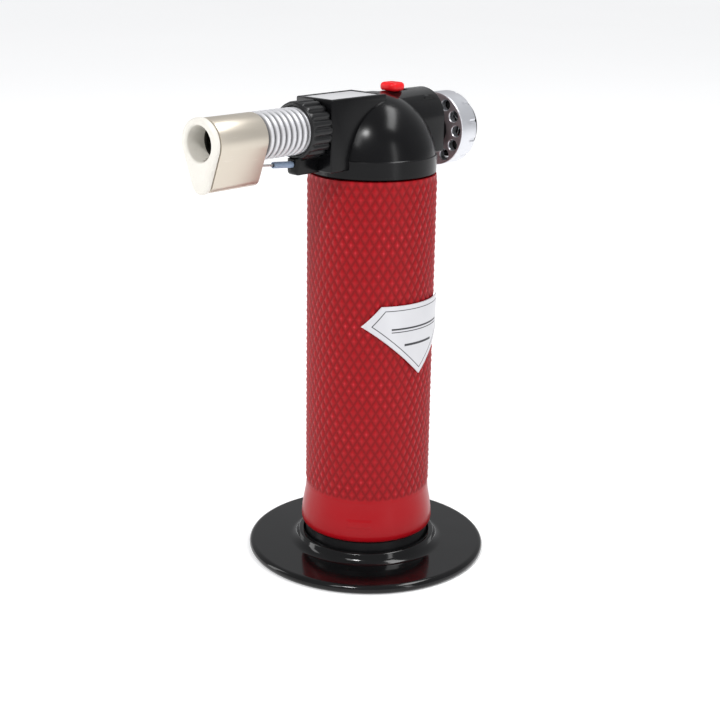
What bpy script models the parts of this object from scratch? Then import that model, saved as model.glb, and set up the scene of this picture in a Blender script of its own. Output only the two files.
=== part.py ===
"""A desk-top butane torch: a gas tank that is also the grip, a two-part head, a burner and a stand.

Metres, +Z up. The origin is on the tank's axis, on the underside of the stand. The flame leaves
along -Y, the ignition button is pressed along -Y, and +X is the side with the name label.
"""

import math

import bmesh
import bpy
from mathutils import Matrix

MM = 0.001

# Clearances
GAP = 0.3 * MM
SPLIT = 0.15 * MM

# Stand
STAND_R = 36.5 * MM
STAND_RIM = 2.8 * MM
STAND_FLOOR = 3.0 * MM
CUP_RIM_Z = 5.8 * MM
CUP_RIM_R = 21.4 * MM

# Tank, which is the grip
TANK_R = 19.0 * MM
TANK_WALL = 1.4 * MM
TANK_BOTTOM = 8.9 * MM
TANK_TOP = 118.0 * MM
GRIP_BOTTOM = 21.5 * MM
BELL_R = 20.15 * MM
BELL_WAIST_R = 18.8 * MM
BELL_Z = 10.6 * MM
LIP_R = 14.6 * MM
LIP_T = 1.6 * MM
FOOT_R = 18.9 * MM
FOOT_PLUG_T = 5.2 * MM
PLUG_T = 8.0 * MM
SEAL_R = 0.8 * MM
BOSS_R = 12.0 * MM
WICK_R = 1.6 * MM
WICK_BOTTOM = 24.0 * MM

# Valves
FILLER_R = 2.6 * MM
FILLER_BORE = 1.5 * MM
FILLER_STEM_R = 1.1 * MM
FILLER_TOP = 19.0 * MM
OUTLET_R = 2.4 * MM
OUTLET_BORE = 1.5 * MM
OUTLET_STEM_R = 0.95 * MM
STEM_COLLAR_R = 2.0 * MM
STEM_COLLAR_RISE = 6.7 * MM
STEM_COLLAR_T = 0.7 * MM

# Name label
LABEL_T = 0.4 * MM
LABEL_TOP = 82.3 * MM
LABEL_SIDE = 76.3 * MM
LABEL_BOTTOM = 60.9 * MM
LABEL_HALF = 15.9 * MM
LABEL_TOP_HALF = 11.9 * MM

# Head, whose heights are measured from the tank's top
HEAD_Z = TANK_TOP
SKIRT_BOTTOM = TANK_TOP + GAP
SKIRT_R = 18.6 * MM
SKIRT_H = 5.4 * MM
DOME_R = 18.5 * MM
DOME_H = 19.9 * MM
DOME_Z = HEAD_Z + 3.0 * MM
WALL = 1.6 * MM
FLOOR_T = 1.7 * MM
BOX_HALF = 6.9 * MM
BOX_FRONT = 24.4 * MM
BOX_REAR = 2.0 * MM
BOX_TOP = HEAD_Z + 23.0 * MM
BOX_BOTTOM = HEAD_Z + 3.0 * MM
ARCH_HALF = 8.6 * MM
ARCH_REAR = 22.0 * MM
ARCH_Z = HEAD_Z + 14.1 * MM
ARCH_BOTTOM = HEAD_Z + 4.5 * MM
BRACKET_HALF = 1.6 * MM
BRACKET_BOTTOM = HEAD_Z + 2.6 * MM
BRACKET_TOP = HEAD_Z + 7.3 * MM
BRACKET_FRONT = 33.1 * MM
SADDLE_STEP = 30.9 * MM
JET_RIB_FRONT = 15.4 * MM
JET_RIB_T = 1.4 * MM
PIN_BOSS_REACH = 16.9 * MM
PLATE_T = 0.7 * MM
PLATE_REAR = 3.8 * MM
PLATE_EDGE = 1.5 * MM

# Burner, measured forward of the tank's axis
BURNER_Z = HEAD_Z + 14.8 * MM
NOZZLE_FRONT = 66.4 * MM
FLANGE_T = 2.0 * MM
SLEEVE_BACK = 47.6 * MM
SLEEVE_R = 6.5 * MM
SLEEVE_TIP_R = 2.9 * MM
SLEEVE_TIP_DROP = 10.1 * MM
SLEEVE_WALL = 0.5 * MM
BORE_R = 4.7 * MM
CERAMIC_BACK = 60.2 * MM
MIXER_R = 3.4 * MM
MIXER_BORE = 2.7 * MM
MIXER_BACK = 21.6 * MM
MIXER_FRONT = 52.8 * MM
COLLAR_R = 8.0 * MM
COLLAR_FRONT = 33.0 * MM
COLLAR_MOUTH_R = 7.0 * MM
COLLAR_RIBS = 20
FIN_R = 6.5 * MM
FIN_ROOT = 5.5 * MM
FIN_PITCH = 2.03 * MM
FINS = 8
JET_R = 2.2 * MM
JET_BACK = 9.8 * MM
JET_FRONT = 19.0 * MM
INLET_Y = 12.0 * MM
SPIGOT_Y = 9.2 * MM
HOSE_R = 1.55 * MM
HOSE_BORE = 1.15 * MM
SPIGOT_R = 0.85 * MM

# Ignition
KNOB_Z = HEAD_Z + 9.7 * MM
RING_R = 11.0 * MM
RING_FRONT = 27.4 * MM
RING_REAR = 34.6 * MM
RING_WALL = 1.6 * MM
RING_HOLES = 12
RING_HOLE_R = 1.6 * MM
RING_HOLE_CIRCLE = 8.5 * MM
RING_PLATE_T = 2.0 * MM
NECK_R = 4.4 * MM
NECK_STEP_R = 5.1 * MM
NECK_BORE = 2.9 * MM
NECK_REAR = 30.7 * MM
BUTTON_TRAVEL = 3.0 * MM
BUTTON_STEM_R = 2.6 * MM
BUTTON_R = 9.0 * MM
BUTTON_REAR = 38.4 * MM
BUTTON_ARM_REAR = 20.1 * MM
BUTTON_ARM_FRONT = 17.2 * MM
PIEZO_SIDE = 7.0 * MM
PIEZO_FRONT = 2.4 * MM
PIEZO_REAR = 14.0 * MM
PLUNGER_R = 2.4 * MM
LEVER_Y = -4.6 * MM
LEVER_Z = HEAD_Z + 5.3 * MM
LEVER_BAR_Z = HEAD_Z + 15.0 * MM
PIN_R = 0.7 * MM
ROD_R = 0.35 * MM
ROD_TIP_Y = 63.4 * MM
INSULATOR_R = 0.9 * MM
INSULATOR_START = 25.8 * MM
INSULATOR_END = 40.0 * MM
INSULATOR_START_Z = HEAD_Z + 5.1 * MM
INSULATOR_END_Z = HEAD_Z + 6.35 * MM
INSULATOR_TILT = math.atan2(INSULATOR_END_Z - INSULATOR_START_Z, INSULATOR_END - INSULATOR_START)
LEAD_R = 0.5 * MM

# Lock slide
SLIDE_Y = 8.0 * MM
SLIDE_TRAVEL = 3.0 * MM
CAP_HALF = 3.0 * MM
SLIDE_NECK_X = 1.4 * MM
SLIDE_NECK_Y = 1.6 * MM
ROOF_INNER = ARCH_Z + ARCH_HALF - WALL

# Screws: (y, z) of the three bosses
SCREWS = (
    (-18.5 * MM, HEAD_Z + 8.8 * MM),
    (-18.4 * MM, HEAD_Z + 19.4 * MM),
    (17.0 * MM, HEAD_Z + 18.9 * MM),
)
SCREW_R = 0.9 * MM
SCREW_HEAD_R = 1.75 * MM
SCREW_HOLE_R = 1.2 * MM
SCREW_BOSS_R = 2.2 * MM
SCREW_RECESS = 1.4 * MM

for old in list(bpy.data.objects):
    bpy.data.objects.remove(old, do_unlink=True)

torch = bpy.data.collections.new("butane_torch")
bpy.context.scene.collection.children.link(torch)
cutters = bpy.data.collections.new("cutters")
bpy.context.scene.collection.children.link(cutters)


def material(name, colour, roughness, metallic=0.0):
    made = bpy.data.materials.new(name)
    made.use_nodes = True
    shader = made.node_tree.nodes["Principled BSDF"]
    shader.inputs["Base Color"].default_value = (*colour, 1.0)
    shader.inputs["Roughness"].default_value = roughness
    shader.inputs["Metallic"].default_value = metallic
    return made


RED_PAINT = material("red_grip", (0.55, 0.01, 0.02), 0.45)
RED_PLASTIC = material("red_plastic", (0.8, 0.02, 0.02), 0.4)
BLACK_PLASTIC = material("black_plastic", (0.015, 0.015, 0.017), 0.4)
CHROME = material("chrome", (0.75, 0.76, 0.78), 0.12, 1.0)
STEEL = material("brushed_steel", (0.62, 0.58, 0.53), 0.32, 1.0)
SPRING_STEEL = material("spring_steel", (0.55, 0.56, 0.58), 0.3, 1.0)
ALLOY = material("cast_alloy", (0.72, 0.73, 0.75), 0.4, 0.8)
BRASS = material("brass", (0.72, 0.5, 0.2), 0.3, 1.0)
CERAMIC = material("white_ceramic", (0.86, 0.85, 0.82), 0.5)
DARK_METAL = material("heat_dark_steel", (0.08, 0.07, 0.065), 0.5, 1.0)
RUBBER = material("rubber", (0.02, 0.02, 0.02), 0.7)
SILICONE = material("silicone_hose", (0.7, 0.68, 0.6), 0.5)
FELT = material("wick_filter", (0.75, 0.73, 0.68), 0.9)
BLUE_SLEEVE = material("blue_grey_insulator", (0.3, 0.36, 0.44), 0.5)
LABEL_METAL = material("silver_label", (0.75, 0.75, 0.76), 0.35, 0.6)
PIEZO_WHITE = material("piezo_case", (0.8, 0.78, 0.7), 0.4)


def add(name, mesh, finish=None, at=(0.0, 0.0, 0.0), turn=(0.0, 0.0, 0.0)):
    """An object of the torch, or a hidden cutter when it has no finish."""
    made = bpy.data.objects.new(name, mesh)
    made.location = at
    made.rotation_euler = turn
    if finish is None:
        made.hide_render = True
        made.display_type = "WIRE"
        cutters.objects.link(made)
    else:
        mesh.materials.append(finish)
        torch.objects.link(made)
    return made


FORWARD = (math.pi / 2, 0.0, 0.0)
ACROSS = (0.0, math.pi / 2, 0.0)
# A round shape is turned a little on its own axis, so that its edges never lie on another's.
SPIN = 0.047
SPUN = (0.0, 0.0, 2 * SPIN)
FORWARD_SPUN = (math.pi / 2, -2 * SPIN, 0.0)


def turned(name, profile, finish=None, at=(0.0, 0.0, 0.0), turn=(0.0, 0.0, 0.0), steps=32):
    """A solid of revolution about its own Z: (radius, height) points down the outer side.

    A profile that ends on the axis is open there; any other is closed back to its first point.
    """
    mesh = bpy.data.meshes.new(name)
    edges = [(i, i + 1) for i in range(len(profile) - 1)]
    if profile[0][0] > 0 or profile[-1][0] > 0:
        edges.append((len(profile) - 1, 0))
    mesh.from_pydata([(r, 0.0, z) for r, z in profile], edges, [])
    made = add(name, mesh, finish, at, turn)
    screw = made.modifiers.new("turn", "SCREW")
    screw.steps = steps
    screw.render_steps = steps
    screw.use_merge_vertices = True
    screw.merge_threshold = 0.00001
    screw.use_smooth_shade = False
    return made


def from_bmesh(name, shape, finish, at, turn):
    mesh = bpy.data.meshes.new(name)
    shape.to_mesh(mesh)
    shape.free()
    return add(name, mesh, finish, at, turn)


def rod(name, radius, low, high, finish=None, at=(0.0, 0.0, 0.0), turn=(0.0, 0.0, 0.0), sides=24):
    """A cylinder about its own Z, from height low to height high."""
    shape = bmesh.new()
    bmesh.ops.create_cone(
        shape, cap_ends=True, segments=sides, radius1=radius, radius2=radius, depth=high - low
    )
    bmesh.ops.translate(shape, vec=(0.0, 0.0, (low + high) / 2), verts=shape.verts)
    bmesh.ops.rotate(shape, matrix=Matrix.Rotation(SPIN, 3, "Z"), verts=shape.verts)
    return from_bmesh(name, shape, finish, at, turn)


def block(name, low, high, finish=None, at=(0.0, 0.0, 0.0), turn=(0.0, 0.0, 0.0)):
    """A box between two corners, given in its object's own space."""
    shape = bmesh.new()
    bmesh.ops.create_cube(shape, size=1.0)
    bmesh.ops.scale(shape, vec=[h - l for l, h in zip(low, high)], verts=shape.verts)
    bmesh.ops.translate(shape, vec=[(l + h) / 2 for l, h in zip(low, high)], verts=shape.verts)
    return from_bmesh(name, shape, finish, at, turn)


def as_mesh(curve_object, name, finish):
    """The curve object's solid as a mesh object in the same place, with its caps welded."""
    bpy.context.view_layer.update()
    graph = bpy.context.evaluated_depsgraph_get()
    mesh = bpy.data.meshes.new_from_object(curve_object.evaluated_get(graph))
    shape = bmesh.new()
    shape.from_mesh(mesh)
    bmesh.ops.remove_doubles(shape, verts=shape.verts, dist=1e-6)
    bmesh.ops.recalc_face_normals(shape, faces=shape.faces)
    shape.to_mesh(mesh)
    shape.free()
    mesh.materials.clear()
    place = curve_object.matrix_world.copy()
    bpy.data.objects.remove(curve_object, do_unlink=True)
    made = add(name, mesh, finish)
    made.matrix_world = place
    return made


def flat(name, outline, thickness, finish=None, at=(0.0, 0.0, 0.0), turn=(0.0, 0.0, 0.0)):
    """A flat outline in its own XY plane, thickened from z = 0 to z = thickness."""
    curve = bpy.data.curves.new(name + "_outline", "CURVE")
    curve.dimensions = "2D"
    curve.fill_mode = "BOTH"
    curve.extrude = thickness / 2
    spline = curve.splines.new("POLY")
    spline.points.add(len(outline) - 1)
    for point, (x, y) in zip(spline.points, outline):
        point.co = (x, y, 0.0, 1.0)
    spline.use_cyclic_u = True
    guide = bpy.data.objects.new(name + "_guide", curve)
    torch.objects.link(guide)
    made = as_mesh(guide, name, finish)
    for vertex in made.data.vertices:
        vertex.co.z += thickness / 2
    made.location = at
    made.rotation_euler = turn
    return made


def wire(name, points, radius, finish=None, at=(0.0, 0.0, 0.0), resolution=2):
    """A round wire or tube along the given points."""
    curve = bpy.data.curves.new(name + "_path", "CURVE")
    curve.dimensions = "3D"
    curve.bevel_depth = radius
    curve.bevel_resolution = resolution
    curve.use_fill_caps = True
    spline = curve.splines.new("POLY")
    spline.points.add(len(points) - 1)
    for point, place in zip(spline.points, points):
        point.co = (*place, 1.0)
    guide = bpy.data.objects.new(name + "_guide", curve)
    guide.location = at
    torch.objects.link(guide)
    return as_mesh(guide, name, finish)


def smooth(points, steps=5):
    """Catmull-Rom points through the given ones."""
    ends = [points[0], *points, points[-1]]
    path = []
    for a, b, c, d in zip(ends, ends[1:], ends[2:], ends[3:]):
        for i in range(steps):
            t = i / steps
            path.append(tuple(
                0.5 * (2 * q + (r - p) * t + (2 * p - 5 * q + 4 * r - s) * t**2
                       + (3 * q - p - 3 * r + s) * t**3)
                for p, q, r, s in zip(a, b, c, d)
            ))
    path.append(tuple(points[-1]))
    return path


def boolean(made, other, operation):
    modifier = made.modifiers.new(operation.lower() + "_" + other.name, "BOOLEAN")
    modifier.operation = operation
    modifier.object = other
    modifier.solver = "EXACT"


def cut(made, *others):
    for other in others:
        boolean(made, other, "DIFFERENCE")


def join(made, *others):
    for other in others:
        boolean(made, other, "UNION")


def arc(centre_r, centre_z, radius, start, end, count, stretch=1.0):
    """Points of an arc in a turned profile, by angle in degrees from the outward direction."""
    angles = [math.radians(start + (end - start) * i / count) for i in range(count + 1)]
    return [
        (max(centre_r + radius * math.cos(a), 0.0), centre_z + radius * stretch * math.sin(a))
        for a in angles
    ]


def ellipse_height(radius, height, reach):
    """Height of a quarter ellipse above its base, at a distance from its axis."""
    return height * math.sqrt(max(1.0 - (reach / radius) ** 2, 0.0))


# Stand ---------------------------------------------------------------------------------------
def make_stand():
    """The round foot: a flat disc with a raised ring that the tank's foot drops into."""
    cup_r = FOOT_R + 2 * GAP
    rim = STAND_RIM / 2
    profile = [(0.0, STAND_FLOOR), (cup_r, STAND_FLOOR), (cup_r, CUP_RIM_Z - 0.5 * MM)]
    profile += [(cup_r + 0.5 * MM, CUP_RIM_Z), (CUP_RIM_R - 0.9 * MM, CUP_RIM_Z)]
    profile += arc(CUP_RIM_R - 0.9 * MM, CUP_RIM_Z - 0.9 * MM, 0.9 * MM, 60, 0, 2)
    profile += [(CUP_RIM_R + 0.3 * MM, STAND_RIM + 0.9 * MM), (CUP_RIM_R + 1.3 * MM, STAND_RIM)]
    profile += arc(STAND_R - rim, rim, rim, 90, -60, 5)
    profile += [(STAND_R - rim, 0.0), (0.0, 0.0)]
    turned("stand_base", profile, BLACK_PLASTIC, steps=40)


make_stand()


# Tank ----------------------------------------------------------------------------------------
def bell_radius(height):
    """Outer radius of the smooth foot of the tank between the grip and its widest ring."""
    share = (GRIP_BOTTOM - height) / (GRIP_BOTTOM - BELL_Z)
    return BELL_WAIST_R + (BELL_R - BELL_WAIST_R) * math.sin(share * math.pi / 2) ** 1.6


def make_tank():
    """The red aluminium tank: a straight grip above a flared foot, with a crimped lip on top."""
    inner = TANK_R - TANK_WALL
    corner = 0.4 * MM
    profile = [(LIP_R, TANK_TOP), (TANK_R - corner, TANK_TOP), (TANK_R, TANK_TOP - corner)]
    profile += [(TANK_R, GRIP_BOTTOM + 0.2 * MM)]
    count = 6
    for i in range(count + 1):
        height = GRIP_BOTTOM - (GRIP_BOTTOM - BELL_Z) * i / count
        profile.append((bell_radius(height), height))
    profile += [(BELL_R - 0.15 * MM, TANK_BOTTOM + 0.5 * MM), (BELL_R - 0.6 * MM, TANK_BOTTOM)]
    profile += [(inner, TANK_BOTTOM), (inner, TANK_TOP - LIP_T), (LIP_R, TANK_TOP - LIP_T)]
    turned("tank_shell", profile, RED_PAINT, steps=40)


make_tank()


def seal_ring(name, radius, height, finish):
    """An O-ring of round section lying flat in its groove."""
    profile = arc(radius, 0.0, SEAL_R, 90, -225, 7)
    turned(name, profile, finish, at=(0.0, 0.0, height), steps=24)


def make_foot_plug():
    """The black foot that closes the tank below, with a seal groove and the filler's bore."""
    plug_r = TANK_R - TANK_WALL - GAP
    top = TANK_BOTTOM + FOOT_PLUG_T
    groove = plug_r - 2 * SEAL_R
    seal_z = top - 2.0 * MM
    half = SEAL_R + GAP
    bore = FILLER_R + GAP
    chamfer = 0.6 * MM
    bottom = STAND_FLOOR + GAP
    profile = [(bore, top), (plug_r, top), (plug_r, seal_z + half), (groove - GAP, seal_z + half)]
    profile += [(groove - GAP, seal_z - half), (plug_r, seal_z - half)]
    profile += [(plug_r, TANK_BOTTOM - GAP), (FOOT_R, TANK_BOTTOM - GAP)]
    profile += [(FOOT_R, bottom + chamfer), (FOOT_R - chamfer, bottom), (bore, bottom)]
    turned("tank_foot_plug", profile, BLACK_PLASTIC, steps=32)
    seal_ring("tank_foot_seal", plug_r - SEAL_R, seal_z, RUBBER)


def make_filler():
    """The filling valve in the foot: a brass body, a sprung stem and the spring above it."""
    bottom = STAND_FLOOR + 2 * GAP
    flange = TANK_BOTTOM + FOOT_PLUG_T + GAP
    throat = bottom + 4.0 * MM
    outlet = 0.7 * MM
    profile = [(outlet, FILLER_TOP), (FILLER_R, FILLER_TOP), (FILLER_R, flange + 1.4 * MM)]
    profile += [(FILLER_R + 1.0 * MM, flange + 1.4 * MM), (FILLER_R + 1.0 * MM, flange)]
    profile += [(FILLER_R, flange), (FILLER_R, bottom)]
    profile += [(FILLER_STEM_R + GAP / 2, bottom), (FILLER_STEM_R + GAP / 2, throat)]
    profile += [(FILLER_BORE, throat), (FILLER_BORE, FILLER_TOP - 1.2 * MM)]
    profile += [(outlet, FILLER_TOP - 1.2 * MM)]
    turned("filler_valve_body", profile, BRASS, steps=20)
    head = throat + GAP
    stem = [(0.0, head + 1.0 * MM), (FILLER_BORE - GAP / 2, head + 1.0 * MM)]
    stem += [(FILLER_BORE - GAP / 2, head), (FILLER_STEM_R, head), (FILLER_STEM_R, bottom + 0.3 * MM)]
    stem += [(0.0, bottom + 0.3 * MM)]
    turned("filler_valve_stem", stem, BRASS, steps=16)
    low = head + 1.0 * MM + GAP
    coil("filler_valve_spring", FILLER_BORE - 0.55 * MM, 0.22 * MM, low, FILLER_TOP - 1.5 * MM, 4.0)


def coil(name, radius, wire_r, low, high, turns, at=(0.0, 0.0, 0.0), forward=False):
    """A compression spring, with its outer faces at low and high along its own axis."""
    count = int(turns * 9)
    points = []
    for i in range(count + 1):
        angle = 2 * math.pi * turns * i / count
        along = low + wire_r + (high - low - 2 * wire_r) * i / count
        flat_x = radius * math.cos(angle)
        flat_y = radius * math.sin(angle)
        points.append((flat_x, -along, flat_y) if forward else (flat_x, flat_y, along))
    wire(name, points, wire_r, SPRING_STEEL, at=at, resolution=0)


make_foot_plug()
make_filler()


def make_top_plug():
    """The plug under the crimped lip: it carries the head, the outlet valve and the gas spigot."""
    plug_r = TANK_R - TANK_WALL - GAP
    top = TANK_TOP - LIP_T - GAP
    bottom = top - PLUG_T
    groove = plug_r - 2 * SEAL_R - GAP
    seal_z = (top + bottom) / 2
    half = SEAL_R + GAP
    bore = OUTLET_R + GAP
    floor_top = SKIRT_BOTTOM + FLOOR_T
    flange_z = floor_top + GAP
    flange_top = flange_z + 1.2 * MM
    profile = [(bore, flange_top), (BOSS_R + 1.2 * MM, flange_top), (BOSS_R + 1.2 * MM, flange_z)]
    profile += [(BOSS_R, flange_z), (BOSS_R, top), (plug_r, top), (plug_r, seal_z + half)]
    profile += [(groove, seal_z + half), (groove, seal_z - half), (plug_r, seal_z - half)]
    profile += [(plug_r, bottom), (bore, bottom)]
    plug = turned("tank_top_plug", profile, ALLOY, steps=32)
    spigot = rod("gas_spigot", SPIGOT_R, flange_top - 1.0 * MM, flange_top + 2.2 * MM,
                 at=(0.0, -SPIGOT_Y, 0.0), sides=16)
    join(plug, spigot)
    passage = rod("gas_passage", SPIGOT_R / 2, bottom - 1.0 * MM, flange_top + 5.0 * MM,
                  at=(0.0, -SPIGOT_Y, 0.0), sides=10)
    cut(plug, passage)
    seal_ring("tank_top_seal", plug_r - SEAL_R, seal_z, RUBBER)
    return flange_top


PLUG_FLANGE_TOP = make_top_plug()


def make_outlet_valve():
    """The outlet valve on the tank's axis: body, lifting stem, its spring and the dip wick."""
    top_head = PLUG_FLANGE_TOP + GAP
    top = top_head + 1.1 * MM
    plug_bottom = TANK_TOP - LIP_T - GAP - PLUG_T
    bottom = plug_bottom - 5.0 * MM
    seat = PLUG_FLANGE_TOP - 8.0 * MM
    guide = OUTLET_STEM_R + 0.15 * MM
    profile = [(guide, top), (OUTLET_R + 0.6 * MM, top), (OUTLET_R + 0.6 * MM, top_head)]
    profile += [(OUTLET_R, top_head), (OUTLET_R, bottom), (0.5 * MM, bottom), (0.5 * MM, seat)]
    profile += [(OUTLET_BORE, seat), (OUTLET_BORE, PLUG_FLANGE_TOP - 1.5 * MM)]
    profile += [(guide, PLUG_FLANGE_TOP - 1.5 * MM)]
    turned("outlet_valve_body", profile, BRASS, steps=20)
    head = seat + GAP
    collar_low = TANK_TOP + STEM_COLLAR_RISE
    stem = [(0.0, collar_low + 1.7 * MM), (OUTLET_STEM_R, collar_low + 1.7 * MM)]
    collar_top = collar_low + STEM_COLLAR_T
    stem += [(OUTLET_STEM_R, collar_top), (STEM_COLLAR_R, collar_top)]
    stem += [(STEM_COLLAR_R, collar_low), (OUTLET_STEM_R, collar_low)]
    stem += [(OUTLET_STEM_R, head + 1.0 * MM)]
    stem += [(OUTLET_BORE - GAP / 2, head + 1.0 * MM), (OUTLET_BORE - GAP / 2, head), (0.0, head)]
    turned("outlet_valve_stem", stem, BRASS, steps=16)
    low = head + 1.0 * MM + GAP
    # The coil fits between the stem and the body's bore.
    coil("outlet_valve_spring", (OUTLET_STEM_R + OUTLET_BORE) / 2, 0.16 * MM, low,
         PLUG_FLANGE_TOP - 1.5 * MM - GAP / 2, 4.0)
    rod("gas_wick", WICK_R, WICK_BOTTOM, bottom - GAP, FELT, sides=12)


make_outlet_valve()


# Name label ----------------------------------------------------------------------------------
def make_label():
    """A thin shield-shaped badge bent round the tank on its +X side."""
    inner = TANK_R + GAP
    outer = inner + LABEL_T
    low = LABEL_BOTTOM - 2.0 * MM
    high = LABEL_TOP + 2.0 * MM
    label = turned("name_label", [(inner, high), (outer, high), (outer, low), (inner, low)],
                   LABEL_METAL, steps=96)
    outline = [(LABEL_TOP_HALF, LABEL_TOP), (LABEL_HALF, LABEL_SIDE), (0.0, LABEL_BOTTOM)]
    outline += [(-LABEL_HALF, LABEL_SIDE), (-LABEL_TOP_HALF, LABEL_TOP)]
    shield = flat("label_outline", outline, TANK_R * 1.4, at=(5.0 * MM, 0.0, 0.0),
                  turn=(math.pi / 2, 0.0, math.pi / 2))
    boolean(label, shield, "INTERSECT")


make_label()


# Head housing --------------------------------------------------------------------------------
def dome_profile(radius, height, base, lower, count=9):
    """Half profile of the dome, closed below by a straight wall down to a flat floor."""
    top = [(radius * math.sin(a), DOME_Z + height * math.cos(a))
           for a in (math.pi / 2 * i / count for i in range(count + 1))]
    points = [p for p in top if p[1] > base]
    points[0] = (0.0, points[0][1])
    reach = radius * math.sqrt(1.0 - ((base - DOME_Z) / height) ** 2) if base > DOME_Z else radius
    return points + [(reach, base)] + lower


def arch_outline(half, centre, bottom, count=15):
    """A tunnel section: a half circle on straight sides, with a flat floor."""
    sides = [(half * math.cos(a), centre + half * math.sin(a))
             for a in (math.pi * i / count for i in range(count + 1))]
    return [*sides, (-half, bottom), (half, bottom)]


def head_solids():
    """The outer shapes that are merged into the head, each a cutter-collection helper."""
    seam = SKIRT_BOTTOM + SKIRT_H
    skirt = [(SKIRT_R, seam), (SKIRT_R, SKIRT_BOTTOM), (0.0, SKIRT_BOTTOM)]
    dome = dome_profile(DOME_R, DOME_H, seam, skirt)
    box = block("head_box", (-BOX_HALF, -BOX_FRONT, BOX_BOTTOM), (BOX_HALF, -BOX_REAR, BOX_TOP))
    arch = flat("head_arch", arch_outline(ARCH_HALF, ARCH_Z, ARCH_BOTTOM), ARCH_REAR - 1.0 * MM,
                at=(0.0, ARCH_REAR, 0.0), turn=FORWARD)
    snap_r = NECK_R + 0.5 * MM
    snap = -NECK_REAR + 1.0 * MM
    neck_profile = [(0.0, -ARCH_REAR + 1.0 * MM), (NECK_STEP_R, -ARCH_REAR + 1.0 * MM)]
    neck_profile += [(NECK_STEP_R, -RING_FRONT + GAP), (NECK_R, -RING_FRONT + GAP)]
    neck_profile += [(NECK_R, snap + GAP), (snap_r, snap), (snap_r, -NECK_REAR), (0.0, -NECK_REAR)]
    neck = turned("head_neck", neck_profile, at=(0.0, 0.0, KNOB_Z), turn=FORWARD_SPUN, steps=28)
    bracket = block("head_bracket", (-BRACKET_HALF, -BRACKET_FRONT, BRACKET_BOTTOM),
                    (BRACKET_HALF, -BOX_FRONT + 4.0 * MM, BRACKET_TOP))
    return dome, (box, arch, neck, bracket)


def head_hollows():
    """Everything that is taken out of the head, in the order it is cut."""
    floor_top = SKIRT_BOTTOM + FLOOR_T
    hole = BOSS_R + GAP
    lower = [(hole, floor_top), (hole, SKIRT_BOTTOM - 1.0 * MM), (0.0, SKIRT_BOTTOM - 1.0 * MM)]
    inner = turned("hollow_dome", dome_profile(DOME_R - WALL, DOME_H - WALL, floor_top, lower, 8),
                   turn=SPUN, steps=32)
    box = block("hollow_box", (-BOX_HALF + WALL, -BOX_FRONT + WALL, BOX_BOTTOM + 1.2 * MM),
                (BOX_HALF - WALL, 0.0, BOX_TOP - WALL - PLATE_T))
    arch = flat("hollow_arch", arch_outline(ARCH_HALF - WALL, ARCH_Z, ARCH_BOTTOM + WALL, 13),
                ARCH_REAR - WALL, at=(0.0, ARCH_REAR - WALL, 0.0), turn=FORWARD)
    stem = rod("hollow_neck", NECK_BORE, -NECK_REAR - 1.0 * MM, -ARCH_REAR + 4.0 * MM,
               at=(0.0, 0.0, KNOB_Z), turn=FORWARD)
    burner = rod("hollow_burner", MIXER_R + GAP, BOX_FRONT - 4.0 * MM, BOX_FRONT + 2.0 * MM,
                 at=(0.0, 0.0, BURNER_Z), turn=FORWARD)
    saddle = rod("hollow_saddle", COLLAR_R + GAP, BOX_FRONT, SADDLE_STEP,
                 at=(0.0, 0.0, BURNER_Z), turn=FORWARD, sides=32)
    throat = rod("hollow_throat", COLLAR_R - SPLIT, SADDLE_STEP - 0.2 * MM, COLLAR_FRONT + GAP,
                 at=(0.0, 0.0, BURNER_Z), turn=FORWARD_SPUN, sides=32)
    lead = rod("hollow_lead", INSULATOR_R + GAP / 2, -5.0 * MM, 16.0 * MM,
               at=(0.0, -INSULATOR_START, INSULATOR_START_Z),
               turn=(math.pi / 2 - INSULATOR_TILT, 0.0, 0.0), sides=16)
    return inner, box, arch, stem, burner, saddle, throat, lead


def head_openings():
    """The lock slide's slot and the recess of the top plate."""
    slot = block("hollow_slot",
                 (-SLIDE_NECK_X - GAP, SLIDE_Y - SLIDE_NECK_Y - GAP, ROOF_INNER - 1.0 * MM),
                 (SLIDE_NECK_X + GAP, SLIDE_Y + SLIDE_NECK_Y + SLIDE_TRAVEL + GAP, BOX_TOP + 3 * MM))
    recess = block("hollow_plate", (-BOX_HALF + PLATE_EDGE - GAP, -BOX_FRONT + PLATE_EDGE - GAP,
                                    BOX_TOP - PLATE_T - 2 * GAP),
                   (BOX_HALF - PLATE_EDGE + GAP, -PLATE_REAR + GAP, BOX_TOP + 1.0 * MM))
    return slot, recess


def head_supports():
    """Screw bosses, the jet's rib and the lever pin's bosses, merged in after the hollows."""
    bosses = [
        rod(f"boss_{i}", SCREW_BOSS_R, -BOX_HALF + 0.5 * MM, BOX_HALF - 0.5 * MM,
            at=(0.0, y, z), turn=ACROSS, sides=20)
        for i, (y, z) in enumerate(SCREWS, 1)
    ]
    rib = block("jet_rib", (-BOX_HALF + 0.8 * MM, -JET_RIB_FRONT, BURNER_Z - 4.2 * MM),
                (BOX_HALF - 0.8 * MM, -JET_RIB_FRONT + JET_RIB_T, BURNER_Z + 4.0 * MM))
    pins = [
        rod(f"pin_boss_{side}", PIN_R + 1.0 * MM, low, high, at=(0.0, LEVER_Y, LEVER_Z),
            turn=ACROSS, sides=16)
        for side, low, high in (("left", -PIN_BOSS_REACH, -3.9 * MM), ("right", 3.9 * MM, PIN_BOSS_REACH))
    ]
    return [*bosses, rib, *pins]


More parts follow.
